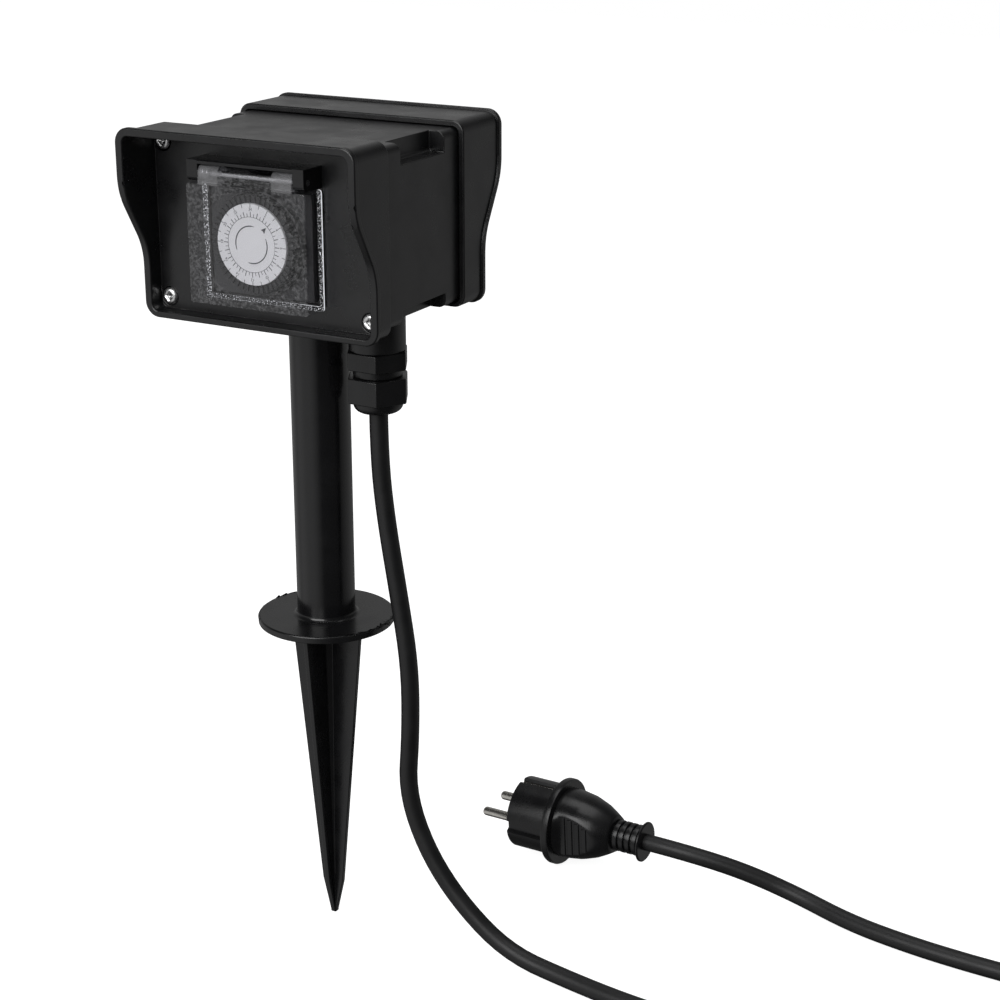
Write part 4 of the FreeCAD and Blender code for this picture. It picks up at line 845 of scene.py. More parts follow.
@dataclass(frozen=True)
class Painted:
    """A CAD node that stays as it is and only gets a finish."""

    node: str
    finish: Finish

    def build(self) -> None:
        """Gives the node its finish."""
        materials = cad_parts[self.node].data.materials
        materials.clear()
        materials.append(self.finish.material())
        LOG.info("%s is painted", self.node)


def build_all(*parts: Union[Dressed, Painted]) -> None:
    """Builds parts in their order."""
    for part in parts:
        part.build()


@dataclass(frozen=True)
class PhotoCamera:
    """The camera at the photograph's place."""

    place: Point = (542.6, -818.8, 393.1)
    forward: Point = (-0.4525, 0.8321, -0.3208)
    focal_px: float = 2132.2
    image_px: float = 1000.0
    sensor_mm: float = 36.0
    clip_m: Span = (0.01, 20.0)

    def build(self) -> None:
        """Makes the camera and gives it to the scene."""
        lens = bpy.data.cameras.new("photo_camera")
        lens.sensor_width = self.sensor_mm
        lens.lens = self.focal_px / self.image_px * self.sensor_mm
        lens.clip_start, lens.clip_end = self.clip_m
        camera = add_object("photo_camera", lens)
        forward = Vector(self.forward).normalized()
        right = forward.cross(Vector((0, 0, 1))).normalized()
        camera.matrix_world = axes(right, right.cross(forward), -forward,
                                   Vector(self.place) * MM)
        bpy.context.scene.camera = camera


@dataclass(frozen=True)
class Lamp:
    """One soft lamp: where it stands, where it looks and how strong it is, in metres."""

    name: str
    place: Point
    target: Point
    size: Span
    power: float

    def build(self) -> None:
        """Makes the lamp and turns it to its target."""
        light = bpy.data.lights.new(self.name, "AREA")
        light.shape = "RECTANGLE"
        light.size, light.size_y = self.size
        light.energy = self.power
        aim = (Vector(self.target) - Vector(self.place)).to_track_quat("-Z", "Y")
        add_object(self.name, light).matrix_world = (
            Matrix.Translation(Vector(self.place)) @ aim.to_matrix().to_4x4())


@dataclass(frozen=True)
class Glow:
    """A soft bright patch of the surroundings that only reflections show."""

    heading_deg: float
    rise_deg: float
    inner_deg: float
    outer_deg: float
    strength: float

    def socket(self, bench: NodeBench, view: Socket) -> Socket:
        """Works out the patch's light for a direction.

        Args:
            bench: the world's node bench.
            view: the direction that is looked in.

        Returns:
            The light, zero beyond the patch.
        """
        heading, rise = math.radians(self.heading_deg), math.radians(self.rise_deg)
        middle = (math.cos(rise) * math.cos(heading), math.cos(rise) * math.sin(heading),
                  math.sin(rise))
        near = bench.add("ShaderNodeVectorMath", {0: view, 1: middle}, operation="DOT_PRODUCT")
        edge = [math.cos(math.radians(angle)) for angle in (self.outer_deg, self.inner_deg)]
        return bench.remap(near.outputs["Value"], 0.0, self.strength, edge)


@dataclass(frozen=True)
class Studio:
    """The plain pale floor, the world and the lamps."""

    floor_z: float = -162.7
    floor_gap: float = 0.2
    floor_half_m: float = 4.0
    floor_colour: float = 0.42
    floor_white: float = 0.88
    world_strength: float = 0.4
    mirror_base: float = 0.06
    mirror_glows: tuple[Glow, ...] = (
        Glow(-115.0, -15.0, 15.0, 50.0, 0.5),
        Glow(55.0, -20.0, 10.0, 45.0, 0.22),
        Glow(125.0, 15.0, 15.0, 50.0, 0.27),
        Glow(-175.0, -15.0, 15.0, 45.0, 0.3),
    )
    lamps: tuple[Lamp, ...] = (
        Lamp("top_softbox", (0.0, 0.1, 1.8), (0.0, 0.0, 0.1), (1.4, 1.4), 12.0),
        Lamp("front_softbox", (-0.1, -1.6, 0.95), (0.0, 0.0, 0.1), (1.5, 1.2), 26.0),
    )

    def build(self) -> None:
        """Makes the floor, the world and the lamps."""
        self._floor()
        self._world()
        for lamp in self.lamps:
            lamp.build()
        bpy.context.scene.view_settings.view_transform = "Standard"

    def _floor(self) -> None:
        """Makes the floor: white to the eye, with a soft shadow, and unseen in reflections."""
        mesh = bpy.data.meshes.new("floor")
        half, level = self.floor_half_m, (self.floor_z - self.floor_gap) * MM
        corners = [(x * half, y * half, level) for x, y in ((-1, -1), (1, -1), (1, 1), (-1, 1))]
        mesh.from_pydata(corners, [], [(0, 1, 2, 3)])
        floor = add_object("floor", mesh)
        made = bpy.data.materials.new("pale_floor")
        made.use_nodes = True
        bench = NodeBench(made.node_tree)
        ray = bench.add("ShaderNodeLightPath").outputs
        white = bench.add("ShaderNodeEmission", {
            "Color": opaque((1, 1, 1)), "Strength": self.floor_white})
        pale = bench.add("ShaderNodeBsdfDiffuse", {"Color": opaque((self.floor_colour,) * 3)})
        both = bench.add("ShaderNodeAddShader", {0: white.outputs[0], 1: pale.outputs[0]})
        plain = bench.mix(ray["Is Camera Ray"], pale.outputs[0], both.outputs[0])
        clear = bench.add("ShaderNodeBsdfTransparent")
        bench.surface(bench.mix(ray["Is Glossy Ray"], plain, clear.outputs[0]))
        mesh.materials.append(made)

    def _world(self) -> None:
        """Makes the world: white to the eye, patchy in reflections and weak elsewhere."""
        world = bpy.data.worlds.new("studio")
        world.use_nodes = True
        bench = NodeBench(world.node_tree)
        ray = bench.add("ShaderNodeLightPath").outputs
        seen = bench.maths("MAXIMUM", ray["Is Camera Ray"], ray["Is Transmission Ray"])
        view = bench.add("ShaderNodeTexCoord").outputs["Generated"]
        mirrored = self.mirror_base
        for glow in self.mirror_glows:
            mirrored = bench.maths("ADD", mirrored, glow.socket(bench, view))
        plain = bench.remap(ray["Is Glossy Ray"], self.world_strength, mirrored, (0.0, 1.0))
        strength = bench.remap(seen, plain, 1.0, (0.0, 1.0))
        light = bench.add("ShaderNodeBackground", {
            "Color": opaque((1, 1, 1)), "Strength": strength})
        bench.surface(light.outputs[0], "ShaderNodeOutputWorld")
        bpy.context.scene.world = world


@dataclass(frozen=True)
class PlugFrame:
    """Where the plug lies: its flange's front, its rear end and its roll."""

    origin: Point = (77.4, 105.1, -139.2)
    rear: Point = (128.9, 103.3, -138.8)
    roll_deg: float = 3.8

    def toward(self) -> Vector:
        """The direction from the cord to the pins."""
        return (Vector(self.origin) - Vector(self.rear)).normalized()

    def matrix(self) -> Matrix:
        """Works out the way from the plug's own frame, +Z to its pins, to the object's.

        Returns:
            The matrix in millimetres.
        """
        toward = self.toward()
        side = Vector((0, 0, 1)).cross(toward).normalized()
        place = axes(toward.cross(side), side, toward, Vector(self.origin))
        return place @ Matrix.Rotation(math.radians(self.roll_deg), 4, "Z")

    def length(self) -> float:
        """How far the rear end lies behind the flange's front."""
        return (Vector(self.origin) - Vector(self.rear)).length


@dataclass(frozen=True)
class MainsCord:
    """The round rubber cord: from the gland to the floor, a coil, and on to the plug."""

    radius: float = 4.5
    real_length_m: float = 2.03
    exit: Point = (34.2, -3.0, 112.4)
    level: float = -158.2
    coil_centre: Span = (299.0, -60.0)
    coil_inner: float = 36.4
    coil_spacing: float = 9.6
    coil_turns: float = 4.0
    coil_climb: float = 0.5
    coil_lift: float = 1.5
    points_per_turn: int = 16
    before_coil: float = 24.0
    after_coil: float = 31.0
    before_plug: float = 22.0
    lead: tuple[Point, ...] = (
        (34.2, -3.0, 88.0), (37.6, -3.3, 58.0), (44.0, -3.7, 22.0), (50.2, -4.4, -14.0),
        (50.6, -5.4, -50.0), (48.3, -6.0, -80.0), (59.5, -6.8, -109.0), (79.0, -7.0, -134.0),
        (106.0, -7.2, -154.2), (140.0, -9.4, -158.2), (174.0, -14.9, -158.2),
        (211.0, -17.2, -158.1), (246.0, -10.5, -157.6))
    tail: tuple[Point, ...] = (
        (366.5, 15.8, -153.8), (377.0, 48.0, -158.0), (366.0, 80.0, -158.2),
        (338.5, 97.5, -158.2), (306.0, 98.2, -158.2), (274.0, 101.2, -158.2),
        (241.0, 107.6, -158.2), (209.0, 117.6, -155.9), (181.0, 110.6, -145.6))
    plug: PlugFrame = PlugFrame()

    def coil_place(self, turn: float, swell: float = 1.0) -> tuple[Vector, Vector]:
        """Finds a place on the coil and the cord's heading there.

        Args:
            turn: how many turns from the coil's start.
            swell: factor on the radius.

        Returns:
            The place and the unit heading.
        """
        middle = self.coil_turns / 2
        radius = self.coil_inner + self.coil_spacing * abs(turn - middle)
        climb = min(1.0, max(0.0, (turn - middle) / self.coil_climb + 0.5))
        height = self.level + self.coil_lift + self.coil_spacing * climb
        angle = QUARTER - math.tau * turn
        out = Vector((math.cos(angle), math.sin(angle), 0))
        onward = Vector((math.sin(angle), -math.cos(angle), 0))
        drift = self.coil_spacing if turn > middle else -self.coil_spacing
        place = Vector((*self.coil_centre, height)) + out * radius * swell
        return place, (onward * math.tau * radius + out * drift).normalized()

    def points(self) -> list[Vector]:
        """Lists the control points of the whole cord.

        Returns:
            The points from the gland to the plug.
        """
        straight = 2 * self.radius
        first, heading = self.coil_place(0.0)
        last, onward = self.coil_place(self.coil_turns)
        begin = first - heading * straight
        end = last + onward * straight
        swell = 1.0 / math.cos(math.pi / self.points_per_turn)
        steps = int(self.coil_turns * self.points_per_turn)
        coil = [self.coil_place(step / self.points_per_turn, swell)[0]
                for step in range(1, steps)]
        rear = Vector(self.plug.rear)
        return [Vector(self.exit), *map(Vector, self.lead), begin - heading * self.before_coil,
                begin, first, *coil, last, end, end + onward * self.after_coil,
                *map(Vector, self.tail), rear - self.plug.toward() * self.before_plug, rear]

    def build(self, carried: Sequence[Piece]) -> None:
        """Args:
            carried: the pieces on the cord, such as its plug; not used.
        """
        curve = bpy.data.curves.new("mains_cord", "CURVE")
        curve.dimensions = "3D"
        curve.bevel_depth = self.radius * MM
        curve.bevel_resolution = 5
        curve.use_fill_caps = True
        spline = curve.splines.new("NURBS")
        route = self.points()
        spline.points.add(len(route) - 1)
        for point, place in zip(spline.points, route):
            point.co = (*(place * MM), 1.0)
        spline.order_u = 3
        spline.use_endpoint_u = True
        spline.resolution_u = 5
        curve.materials.append(CORD_RUBBER.material())
        cord = settle(add_object("mains_cord", curve), Body.BOX, Slot.CORD,
                      "cord_lead", "cord_coil", "cord_tail")


@dataclass(frozen=True)
class Plug:
    """The moulded two pin plug with its side earth strips and ribbed relief.

    A profile lists how far each of its points lies inside the full radius, or its share of
    that radius, and how far before the form's end it lies.
    """

    place: PlugFrame = PlugFrame()
    flange_radius: float = 23.4
    flange_thickness: float = 4.2
    flange_edge: tuple[Span, ...] = ((0.9, 0.0), (0.3, 0.25), (0.0, 0.9))
    front_radius: float = 19.2
    front_length: float = 23.2
    nose_shares: tuple[Span, ...] = ((1.0, 0.9), (0.985, 0.3), (0.955, 0.0))
    key_half_width: float = 2.8
    key_cut: float = 2.4
    strip_half_width: float = 2.2
    grip_length: float = 31.0
    grip_side: float = 14.0
    grip_sink: float = 0.4
    grip_rings: int = 14
    grip_knots: tuple[Span, ...] = (
        (0.0, 18.8), (0.2, 18.5), (0.45, 17.3), (0.7, 14.6), (0.88, 11.6), (1.0, 9.2))
    rib_reaches: tuple[float, ...] = (11.3, 10.4, 9.2, 6.9)
    rib_start: float = 4.9
    rib_pitch: float = 4.2
    rib_half: float = 1.55
    rib_top_share: float = 0.85
    rib_height: float = 0.9
    rib_sink: float = 0.3
    pin_radius: float = 2.4
    pin_length: float = 19.0
    pin_pitch: float = 19.0
    pin_root: float = 1.0
    pin_shares: tuple[Span, ...] = ((1.0, 1.6), (0.9, 0.8), (0.68, 0.25), (0.35, 0.0))
    relief_radius: float = 8.3
    relief_rings: int = 4
    relief_groove: tuple[Span, ...] = ((1.3, 0.1), (1.3, 1.0), (0.25, 1.2), (0.0, 1.6))
    relief_ring_edge: tuple[Span, ...] = ((0.0, 0.3), (0.3, 0.05))
    relief_bore: float = 5.0
    relief_sink: float = 1.0
    end_flange_radius: float = 10.7
    end_flange_thickness: float = 1.6
    end_flange_edge: Span = (0.6, 0.5)
    steps: int = 72
    relief_steps: int = 56
    pin_steps: int = 32
    strip_rounding: float = 0.15
    rib_rounding: float = 0.15
    grip_sharp_deg: float = 60.0
    grip_flattening: float = 8.0

    def build(self) -> list[Piece]:
        """Makes all the plug's pieces.

        Returns:
            The pieces, which lie on the cord.
        """
        strips = Dressed("plug_earth_strips", PIN_PLATING, Body.BOX, Slot.STEEL,
                         self.strip_rounding)
        return [self._front(), self._grip(), self._grip_ribs(), self._relief(), self._pins(),
                strips.build()]

    def _rubber(self, maker: Modeller, node: str, rounding_mm: float = 0.0,
                sharp_deg: float = SHARP_DEG) -> Piece:
        """Puts a rubber form in the plug's place.

        Args:
            maker: the form in the plug's own frame.
            node: the CAD node that it stands for.
            rounding_mm: width of the rounding on its sharp edges.
            sharp_deg: the angle from which an edge stays sharp.

        Returns:
            The finished piece.
        """
        maker.place(self.place.matrix())
        made = maker.piece(PLUG_RUBBER, rounding_mm, sharp_deg=sharp_deg)
        return settle(made, Body.BOX, Slot.PLUG, node)

    def _front_radius_at(self, angle: float) -> float:
        """Finds the front's radius, less in its key and strip grooves.

        Args:
            angle: the angle about the plug's axis.

        Returns:
            The radius there.
        """
        for middle, half in ((0.0, self.strip_half_width), (QUARTER, self.key_half_width)):
            off = abs((angle - middle + QUARTER) % math.pi - QUARTER)
            if math.sin(off) * self.front_radius < half:
                return (self.front_radius - self.key_cut) / math.cos(off)
        return self.front_radius

    def _front(self) -> Piece:
        """Makes the round front with its grooves, chamfered nose and flange.

        Returns:
            The finished piece.
        """
        maker = Modeller("plug_front")
        angles = [math.pi * step / self.steps for step in range(2 * self.steps)]
        outline = [(self._front_radius_at(a) * math.cos(a), self._front_radius_at(a) * math.sin(a))
                   for a in angles]
        top = self.front_length
        nose = ((1.0, top), *self.nose_shares)
        maker.loft([(x * share, y * share, top - depth) for x, y in outline]
                   for share, depth in nose)
        rear, radius = -self.flange_thickness, self.flange_radius
        front_edge = [(radius - inset, -depth) for inset, depth in self.flange_edge]
        rear_edge = [(radius - inset, rear + depth) for inset, depth in self.flange_edge[::-1]]
        maker.lathe(front_edge + rear_edge, self.steps)
        return self._rubber(maker, "plug_body")

    def _grip_radius(self, share: float) -> float:
        """Finds the grip's radius.

        Args:
            share: the share of its length from the flange.

        Returns:
            The radius there.
        """
        for (s0, r0), (s1, r1) in zip(self.grip_knots, self.grip_knots[1:]):
            if share <= s1:
                break
        return r0 + (r1 - r0) * (share - s0) / (s1 - s0)

    def _grip_ring(self, share: float) -> list[Point]:
        """Works out one ring of the grip: round above and below, flatter at both sides.

        Args:
            share: the share of the grip's length from the flange.

        Returns:
            The ring's points.
        """
        radius = side = self._grip_radius(share)
        if radius > self.grip_side:
            round_share = max(0.0, 1 - share * self.grip_flattening)
            side = self.grip_side + (radius - self.grip_side) * round_share
        height = self.grip_sink - self.flange_thickness - share * self.grip_length
        angles = [math.tau * step / self.steps for step in range(self.steps)]
        return [(radius * math.cos(a), max(-side, min(side, radius * math.sin(a))), height)
                for a in angles]

    def _grip(self) -> Piece:
        """Makes the bulging grip behind the flange.

        Returns:
            The finished piece.
        """
        maker = Modeller("plug_grip")
        maker.loft(self._grip_ring(step / self.grip_rings) for step in range(self.grip_rings + 1))
        return self._rubber(maker, "plug_body", sharp_deg=self.grip_sharp_deg)

    def _grip_ribs(self) -> Piece:
        """Makes the upright ribs in the flat sides of the grip.

        Returns:
            The finished piece.
        """
        maker = Modeller("plug_grip_ribs")
        half, top = self.rib_half, self.rib_half * self.rib_top_share
        section = ((-half, 0.0), (-top, self.rib_height), (top, self.rib_height), (half, 0.0))
        for side in (-1, 1):
            for index, reach in enumerate(self.rib_reaches):
                middle = -self.flange_thickness - self.rib_start - self.rib_pitch * index
                maker.loft([(x, side * (self.grip_side + out - self.rib_sink), middle + along)
                            for along, out in section] for x in (-reach, reach))
        return self._rubber(maker, "plug_body", self.rib_rounding)

    def _relief(self) -> Piece:
        """Makes the ribbed relief with its end flange.

        Returns:
            The finished piece.
        """
        maker = Modeller("plug_bend_relief")
        rear = -self.place.length()
        front = -self.flange_thickness - self.grip_length
        start = rear + self.end_flange_thickness
        wide, radius = self.end_flange_radius, self.relief_radius
        inset, depth = self.end_flange_edge
        profile = [(self.relief_bore, rear), (wide - inset, rear), (wide, rear + depth),
                   (wide, start - depth), (wide - inset, start)]
        pitch = (front - start) / self.relief_rings
        for index in range(self.relief_rings):
            low = start + pitch * index
            profile += [(radius - inset, low + rise) for inset, rise in self.relief_groove]
            profile += [(radius - inset, low + pitch - depth)
                        for inset, depth in self.relief_ring_edge]
        profile.append((profile[-1][0], front + self.relief_sink))
        maker.lathe(profile, self.relief_steps)
        return self._rubber(maker, "plug_relief")

    def _pins(self) -> Piece:
        """Makes the two round pins.

        Returns:
            The finished piece.
        """
        maker = Modeller("plug_contact_pins")
        radius, end = self.pin_radius, self.front_length + self.pin_length
        profile = [(radius, self.front_length - self.pin_root),
                   *((radius * share, end - depth) for share, depth in self.pin_shares)]
        for side in (1, -1):
            maker.lathe(profile, self.pin_steps, side * self.pin_pitch / 2)
        maker.place(self.place.matrix())
        return settle(maker.piece(PIN_PLATING), Body.BOX, Slot.STEEL, "plug_pins")


@dataclass(frozen=True)
class DialFace:
    """The light grey dial with its printed marks; a mark has a radius, a length and a width."""

    centre: Point = (0.0, -52.0, 196.7)
    radius: float = 18.5
    thickness: float = 1.6
    front_edge: tuple[Span, ...] = ((0.0, 0.45), (0.15, 0.12), (0.45, 0.0))
    rear_edge: Span = (0.05, 0.2)
    bore_edge: float = 0.1
    steps: int = 96
    ink: float = 0.05
    hour_count: int = 24
    half_hour_count: int = 48
    hour_mark: Mark = (17.6, 1.7, 0.26)
    half_hour_mark: Mark = (13.3, 1.5, 0.24)
    quarter_mark: Mark = (13.7, 2.3, 0.32)
    ring_radius: float = 12.5
    ring_half: float = 0.09
    arc_radius: float = 8.4
    arc_half: float = 0.27
    arc_spans: tuple[Span, ...] = ((78.0, 201.0), (24.0, -104.0))
    arc_tip_share: float = 0.35
    arc_widening: float = 6.0
    arc_step_deg: float = 4.0
    pointer_deg: float = 46.0
    pointer: tuple[Span, ...] = ((11.7, 0.0), (8.9, 1.25), (9.3, 0.0), (8.9, -1.25))
    number_step: int = 2
    number_radius: float = 15.9
    number_size: float = 1.9

    def build(self) -> None:
        """Makes the face and its marks."""
        self._face()
        self._ticks()
        self._arrows()
        self._numbers()

    def _put(self, maker: Modeller, finish: Finish) -> None:
        """Stands a form about Z upright in the dial's place, its top to the front."""
        maker.place(Matrix.Translation(Vector(self.centre)) @ Matrix.Rotation(QUARTER, 4, "X"))
        settle(maker.piece(finish), Body.DIAL, Slot.DIAL, "timer_dial")

    def _face(self) -> None:
        """Makes the disc with its slightly rounded rim."""
        maker = Modeller("dial_face")
        radius, rear = self.radius, -self.thickness
        inset, rise = self.rear_edge
        maker.lathe([(radius - inset, rear), (radius, rear + rise),
                     *((radius - inset, -depth) for inset, depth in self.front_edge),
                     (self.ring_radius + self.bore_edge, 0.0), (self.ring_radius, 0.0)],
                    self.steps)
        self._put(maker, DIAL_PLASTIC)

    def _ticks(self) -> None:
        """Makes the hour marks at the rim and the marks at the inner ring."""
        x, y, z = self.centre
        front = (x, y - self.ink / 2, z)
        for name, count, (radius, length, width) in (
            ("dial_hour_marks", self.hour_count, self.hour_mark),
            ("dial_half_hour_marks", self.half_hour_count, self.half_hour_mark),
            ("dial_quarter_marks", self.hour_count, self.quarter_mark),
        ):
            ring = BarRing(name, count, radius, (length, width, self.ink), front)
            settle(ring.build(DIAL_INK), Body.DIAL, Slot.DIAL, "timer_dial")

    def _arc(self, maker: Modeller, radius: float, half: float, span: Span) -> None:
        """Adds one printed arc, pointed at both ends.

        Args:
            maker: the modeller that takes it.
            radius: the arc's middle radius.
            half: half its line's width.
            span: its first and last angle in degrees.
        """
        start, end = span
        steps = max(8, int(abs(end - start) / self.arc_step_deg))
        rows = []
        for step in range(steps + 1):
            share = step / steps
            angle = math.radians(start + (end - start) * share)
            to_tip = min(share, 1 - share)
            width = half * min(1.0, self.arc_tip_share + self.arc_widening * to_tip)
            corners = ((-width, 0.0), (width, 0.0), (width, self.ink), (-width, self.ink))
            rows.append([((radius + off) * math.cos(angle), (radius + off) * math.sin(angle),
                          level) for off, level in corners])
        maker.loft(rows)

    def _arrows(self) -> None:
        """Makes the thin ring, the two turning arcs and the pointer."""
        maker = Modeller("dial_arrows")
        self._arc(maker, self.ring_radius, self.ring_half, (0.0, 359.9))
        for span in self.arc_spans:
            self._arc(maker, self.arc_radius, self.arc_half, span)
        aim = math.radians(self.pointer_deg)
        out = Vector((math.cos(aim), math.sin(aim), 0))
        side = Vector((-out.y, out.x, 0))
        corners = [out * far + side * off for far, off in self.pointer]
        maker.loft([(p.x, p.y, level) for p in corners] for level in (0.0, self.ink))
        self._put(maker, DIAL_INK)

    def _numbers(self) -> None:
        """Makes plain small numbers of the even hours."""
        maker = Modeller("dial_numbers")
        for hour in range(self.number_step, self.hour_count + 1, self.number_step):
            text = bpy.data.curves.new("number", "FONT")
            text.body = str(hour)
            text.size = self.number_size
            text.align_x = text.align_y = "CENTER"
            text.extrude = self.ink / 2
            carrier = add_object("number", text)
            graph = bpy.context.evaluated_depsgraph_get()
            mesh = bpy.data.meshes.new_from_object(carrier.evaluated_get(graph))
            angle = QUARTER - math.tau * hour / self.hour_count
            place = Vector((math.cos(angle), math.sin(angle), 0)) * self.number_radius
            place.z = self.ink / 2
            mesh.transform(Matrix.Translation(place) @ Matrix.Rotation(angle - QUARTER, 4, "Z"))
            maker.mesh.from_mesh(mesh)
            bpy.data.objects.remove(carrier)
            bpy.data.meshes.remove(mesh)
            bpy.data.curves.remove(text)
        self._put(maker, DIAL_INK)


@dataclass(frozen=True)
class Timer:
    """The timer behind the clear lid: plate, dial, tappets and what turns them."""

    dial: DialFace = DialFace()
    tappet_count: int = 48
    tappet_middle: float = 20.4
    tappet: Point = (3.0, 1.5, 5.2)
    tappet_front: float = 51.4
    rounding: float = 0.2

    def build(self) -> None:
        """Makes the timer's pieces."""
        self.dial.build()
        x, _, z = self.dial.centre
        middle = (x, -self.tappet_front + self.tappet[2] / 2, z)
        ring = BarRing("setting_tappets", self.tappet_count, self.tappet_middle, self.tappet,
                       middle, turn_deg=180.0 / self.tappet_count)
        settle(ring.build(TAPPET_PLASTIC), Body.TAPPETS, Slot.TAPPET, "tappets")
        build_all(
            Dressed("timer_plate", PLATE_PLASTIC, Body.BOX, Slot.BLACK, self.rounding),
            Dressed("tappet_ring", TAPPET_PLASTIC, Body.DIAL, Slot.BLACK, 0.0),
            Dressed("timer_case", CASE_PLASTIC, Body.BOX, Slot.BLACK, self.rounding),
            Painted("dial_hub", TAPPET_PLASTIC),
            Painted("gear_frame", CASE_PLASTIC),
            Painted("timer_motor", SPRING_STEEL),
            Painted("timer_switch", CASE_PLASTIC),
            Painted("dial_shaft", GEAR_PLASTIC),
            Painted("dial_gear", GEAR_PLASTIC),
            Painted("motor_pinion", BRASS),
            Painted("motor_shaft", SPRING_STEEL),
        )


@dataclass(frozen=True)
class Lids:
    """Both sprung lids with their brackets, pins, springs and seals."""

    spring_turns: float = 4.0
    spring_pitch: float = 1.2
    spring_radius: float = 2.5
    spring_wire: float = 0.35
    spring_start: Point = (-24.8, -52.0, 227.0)
    rounding: float = 0.2

    def build(self) -> None:
        """Makes the pieces of both lids."""
        build_all(
            Dressed("timer_lid", LID_PLASTIC, Body.TIMER_LID, Slot.CLEAR, self.rounding),
            Dressed("lid_hinge_bracket", BLACK_PLASTIC, Body.BOX, Slot.BLACK, 0.0),
            Dressed("lid_hinge_pin", SPRING_STEEL, Body.BOX, Slot.STEEL, self.rounding),
            Painted("lid_seal", SEAL_RUBBER),
            Dressed("socket_lid", BLACK_PLASTIC, Body.SOCKET_LID, Slot.BLACK, self.rounding),
            Dressed("socket_hinge_bracket", BLACK_PLASTIC, Body.BOX, Slot.BLACK, 0.0),
            Dressed("socket_hinge_pin", SPRING_STEEL, Body.BOX, Slot.STEEL, self.rounding),
            Painted("socket_lid_seal", SEAL_RUBBER),
        )
        x, y, z = self.spring_start
        self._spring("lid_spring", (x, y, z))
        self._spring("socket_lid_spring", (-x - self.spring_turns * self.spring_pitch, -y, z))

    def _spring(self, node: str, start: Point) -> None:
        """Makes a closing spring in the end of a lid's barrel.

        Args:
            node: the CAD node of the spring.
            start: the middle of its first turn.
        """
        coil = WireCoil(node + "_wire", self.spring_turns, self.spring_pitch,
                        self.spring_radius, self.spring_wire, start)
        settle(coil.build(SPRING_STEEL), Body.BOX, Slot.STEEL, node)


@dataclass(frozen=True)
class Housing:
    """The main box with both hooded covers, their seals and screws."""

    screw_half_width: float = 54.6
    screw_middle_z: float = 201.25
    screw_half_height: float = 36.05
    screw_seat: float = 40.0
    screw_steps: int = 48
    shank_radius: float = 1.9
    shank_length: float = 12.0
    head_radius: float = 4.0
    head_height: float = 2.2
    head_shares: tuple[Span, ...] = ((1.0, 1.2), (0.93, 0.6), (0.8, 0.2), (0.66, 0.0))
    slot_half: float = 0.45
    slot_reach: float = 2.295
    slot_depth: float = 1.0
    slot_taper: float = 0.85
    slot_merge: float = 0.0005
    rounding: float = 0.3

    def build(self) -> None:
        """Makes the housing's pieces."""
        build_all(
            Dressed("front_cover", COVER_PLASTIC, Body.BOX, Slot.COVER, self.rounding),
            Dressed("rear_cover", COVER_PLASTIC, Body.BOX, Slot.COVER, self.rounding),
            Dressed("main_body", BOX_PLASTIC, Body.BOX, Slot.BOX, self.rounding),
            Painted("front_gasket", SEAL_RUBBER),
            Painted("rear_gasket", SEAL_RUBBER),
        )
        for side, name in ((-1, "front_cover_screws"), (1, "rear_cover_screws")):
            self._screws(side, name)

    def _screws(self, side: int, node: str) -> None:
        """Makes four pan head screws with crossed slots on one cover.

        Args:
            side: -1 for the front, 1 for the rear.
            node: the CAD node of the screws.
        """
        maker = Modeller("screw_form")
        radius, height = self.head_radius, self.head_height
        rim = maker.lathe([
            (self.shank_radius, -self.shank_length), (self.shank_radius, 0.0), (radius, 0.0),
            *((radius * share, height - depth) for share, depth in self.head_shares)],
            self.screw_steps, topped=False)
        self._cross_top(maker, rim)
        maker.place(Matrix.Rotation(-side * QUARTER, 4, "X"))
        corners = FourCorners(node + "_heads", self.screw_half_width, self.screw_half_height,
                              (0.0, side * self.screw_seat, self.screw_middle_z))
        heads = corners.build(maker.piece(SCREW_STEEL), SCREW_STEEL)
        settle(heads, Body.BOX, Slot.STEEL, node)

    def _cross_top(self, maker: Modeller, rim: Ring) -> None:
        """Closes the top of a screw head with a sunk cross.

        Args:
            maker: the screw's modeller.
            rim: the ring round its flat top.
        """
        half, reach = self.slot_half, self.slot_reach
        outline = []
        for quarter in range(4):
            turn = Matrix.Rotation(quarter * QUARTER, 3, "Z")
            for x, y in ((half, -half), (reach, -half), (reach, half), (half, half)):
                outline.append(turn @ Vector((x, y, 0)))
        edge, bottom = (
            maker.ring([(p.x * share, p.y * share, self.head_height - depth) for p in outline])
            for share, depth in ((1.0, 0.0), (self.slot_taper, self.slot_depth)))
        maker.skin([edge, bottom])
        maker.mesh.faces.new(bottom)
        bmesh.ops.remove_doubles(maker.mesh, verts=edge + bottom, dist=self.slot_merge)
        border = {*rim, *(vert for vert in edge if vert.is_valid)}
        edges = [e for e in maker.mesh.edges
                 if len(e.link_faces) == 1 and border.issuperset(e.verts)]
        bmesh.ops.triangle_fill(maker.mesh, edges=edges, use_beauty=True)


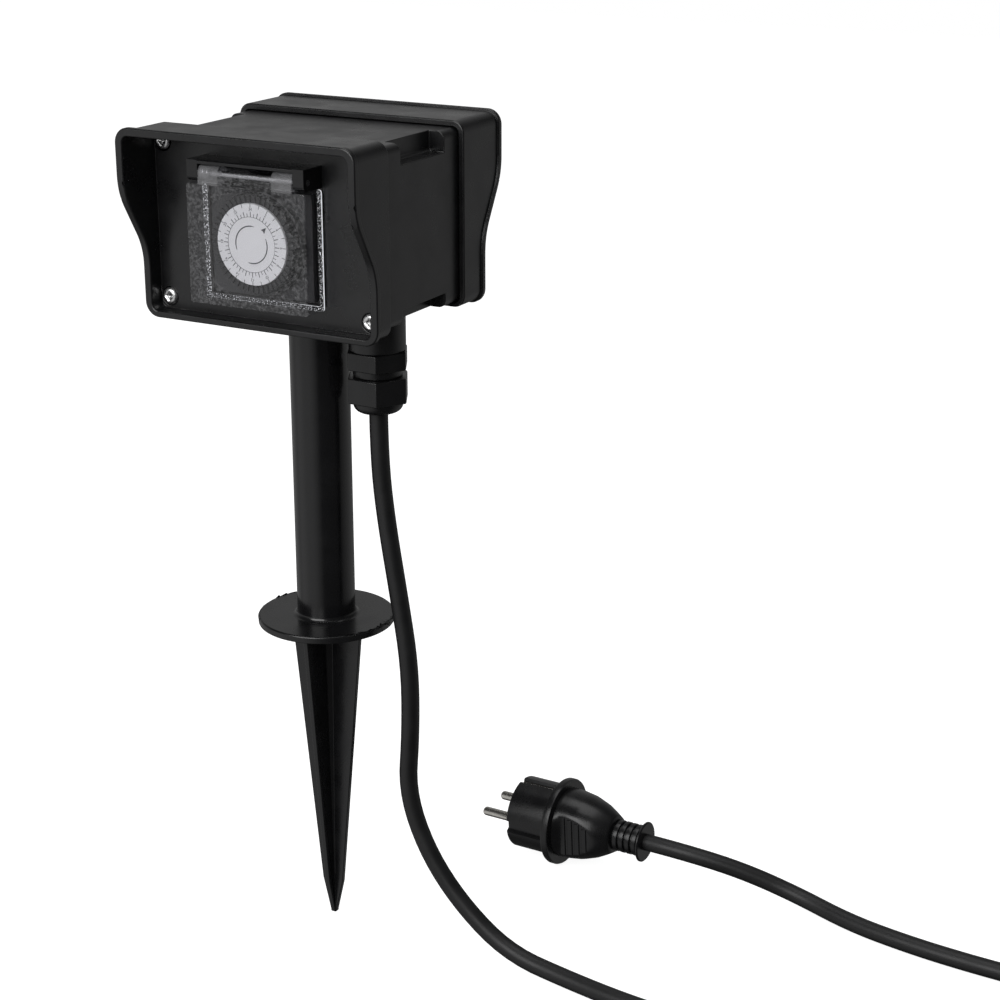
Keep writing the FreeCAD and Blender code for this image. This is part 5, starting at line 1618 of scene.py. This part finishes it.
@dataclass(frozen=True)
class Mounting:
    """What holds the box up and lets the cord in: post, spike and gland."""

    post_rounding: float = 0.3
    gland_rounding: float = 0.5

    def build(self) -> None:
        """Makes the post, the spike and the gland."""
        build_all(
            Dressed("post_tube", POST_PLASTIC, Body.BOX, Slot.POST, self.post_rounding),
            Dressed("ground_spike", SPIKE_PLASTIC, Body.BOX, Slot.POST, self.post_rounding),
            Painted("post_cap", POST_PLASTIC),
            Painted("post_screw", SCREW_STEEL),
            Dressed("gland_body", GLAND_PLASTIC, Body.BOX, Slot.BLACK, self.gland_rounding),
            Dressed("gland_nut", GLAND_PLASTIC, Body.BOX, Slot.BLACK, self.gland_rounding),
            Painted("gland_thread_ring", GLAND_PLASTIC),
            Painted("gland_seal", SEAL_RUBBER),
        )


@dataclass(frozen=True)
class RearSocket:
    """The socket behind the rear lid and the wiring inside the box."""

    insert_rounding: float = 0.2
    wire_rounding: float = 0.0

    def build(self) -> None:
        """Dresses the socket, the terminals and the wires."""
        build_all(
            Dressed("socket_insert", BLACK_PLASTIC, Body.BOX, Slot.BLACK, self.insert_rounding),
            Painted("socket_earth_clip", BRASS),
            Painted("socket_contacts", BRASS),
            Painted("terminal_block", TERMINAL_PLASTIC),
            Painted("terminal_screws", BRASS),
            Dressed("supply_wires", WIRE_SKIN, Body.BOX, Slot.WIRE, self.wire_rounding),
            Dressed("socket_wires", WIRE_SKIN, Body.BOX, Slot.WIRE, self.wire_rounding),
            Dressed("cord_end", CORD_RUBBER, Body.BOX, Slot.CORD, self.wire_rounding),
        )


def main() -> None:
    """Builds the camera, the cord and the whole object in order."""
    logging.basicConfig(level=logging.INFO, format="%(message)s")
    PhotoCamera().build()
    plug_pieces = Plug().build()
    tie = Dressed("coil_tie", TIE_PLASTIC, Body.BOX, Slot.TIE, 0.3).build()
    MainsCord().build([*plug_pieces, tie])
    for assembly in (Studio(), Housing(), Timer(), Lids(), Mounting(), RearSocket()):
        assembly.build()


if __name__ == "__main__":
    main()
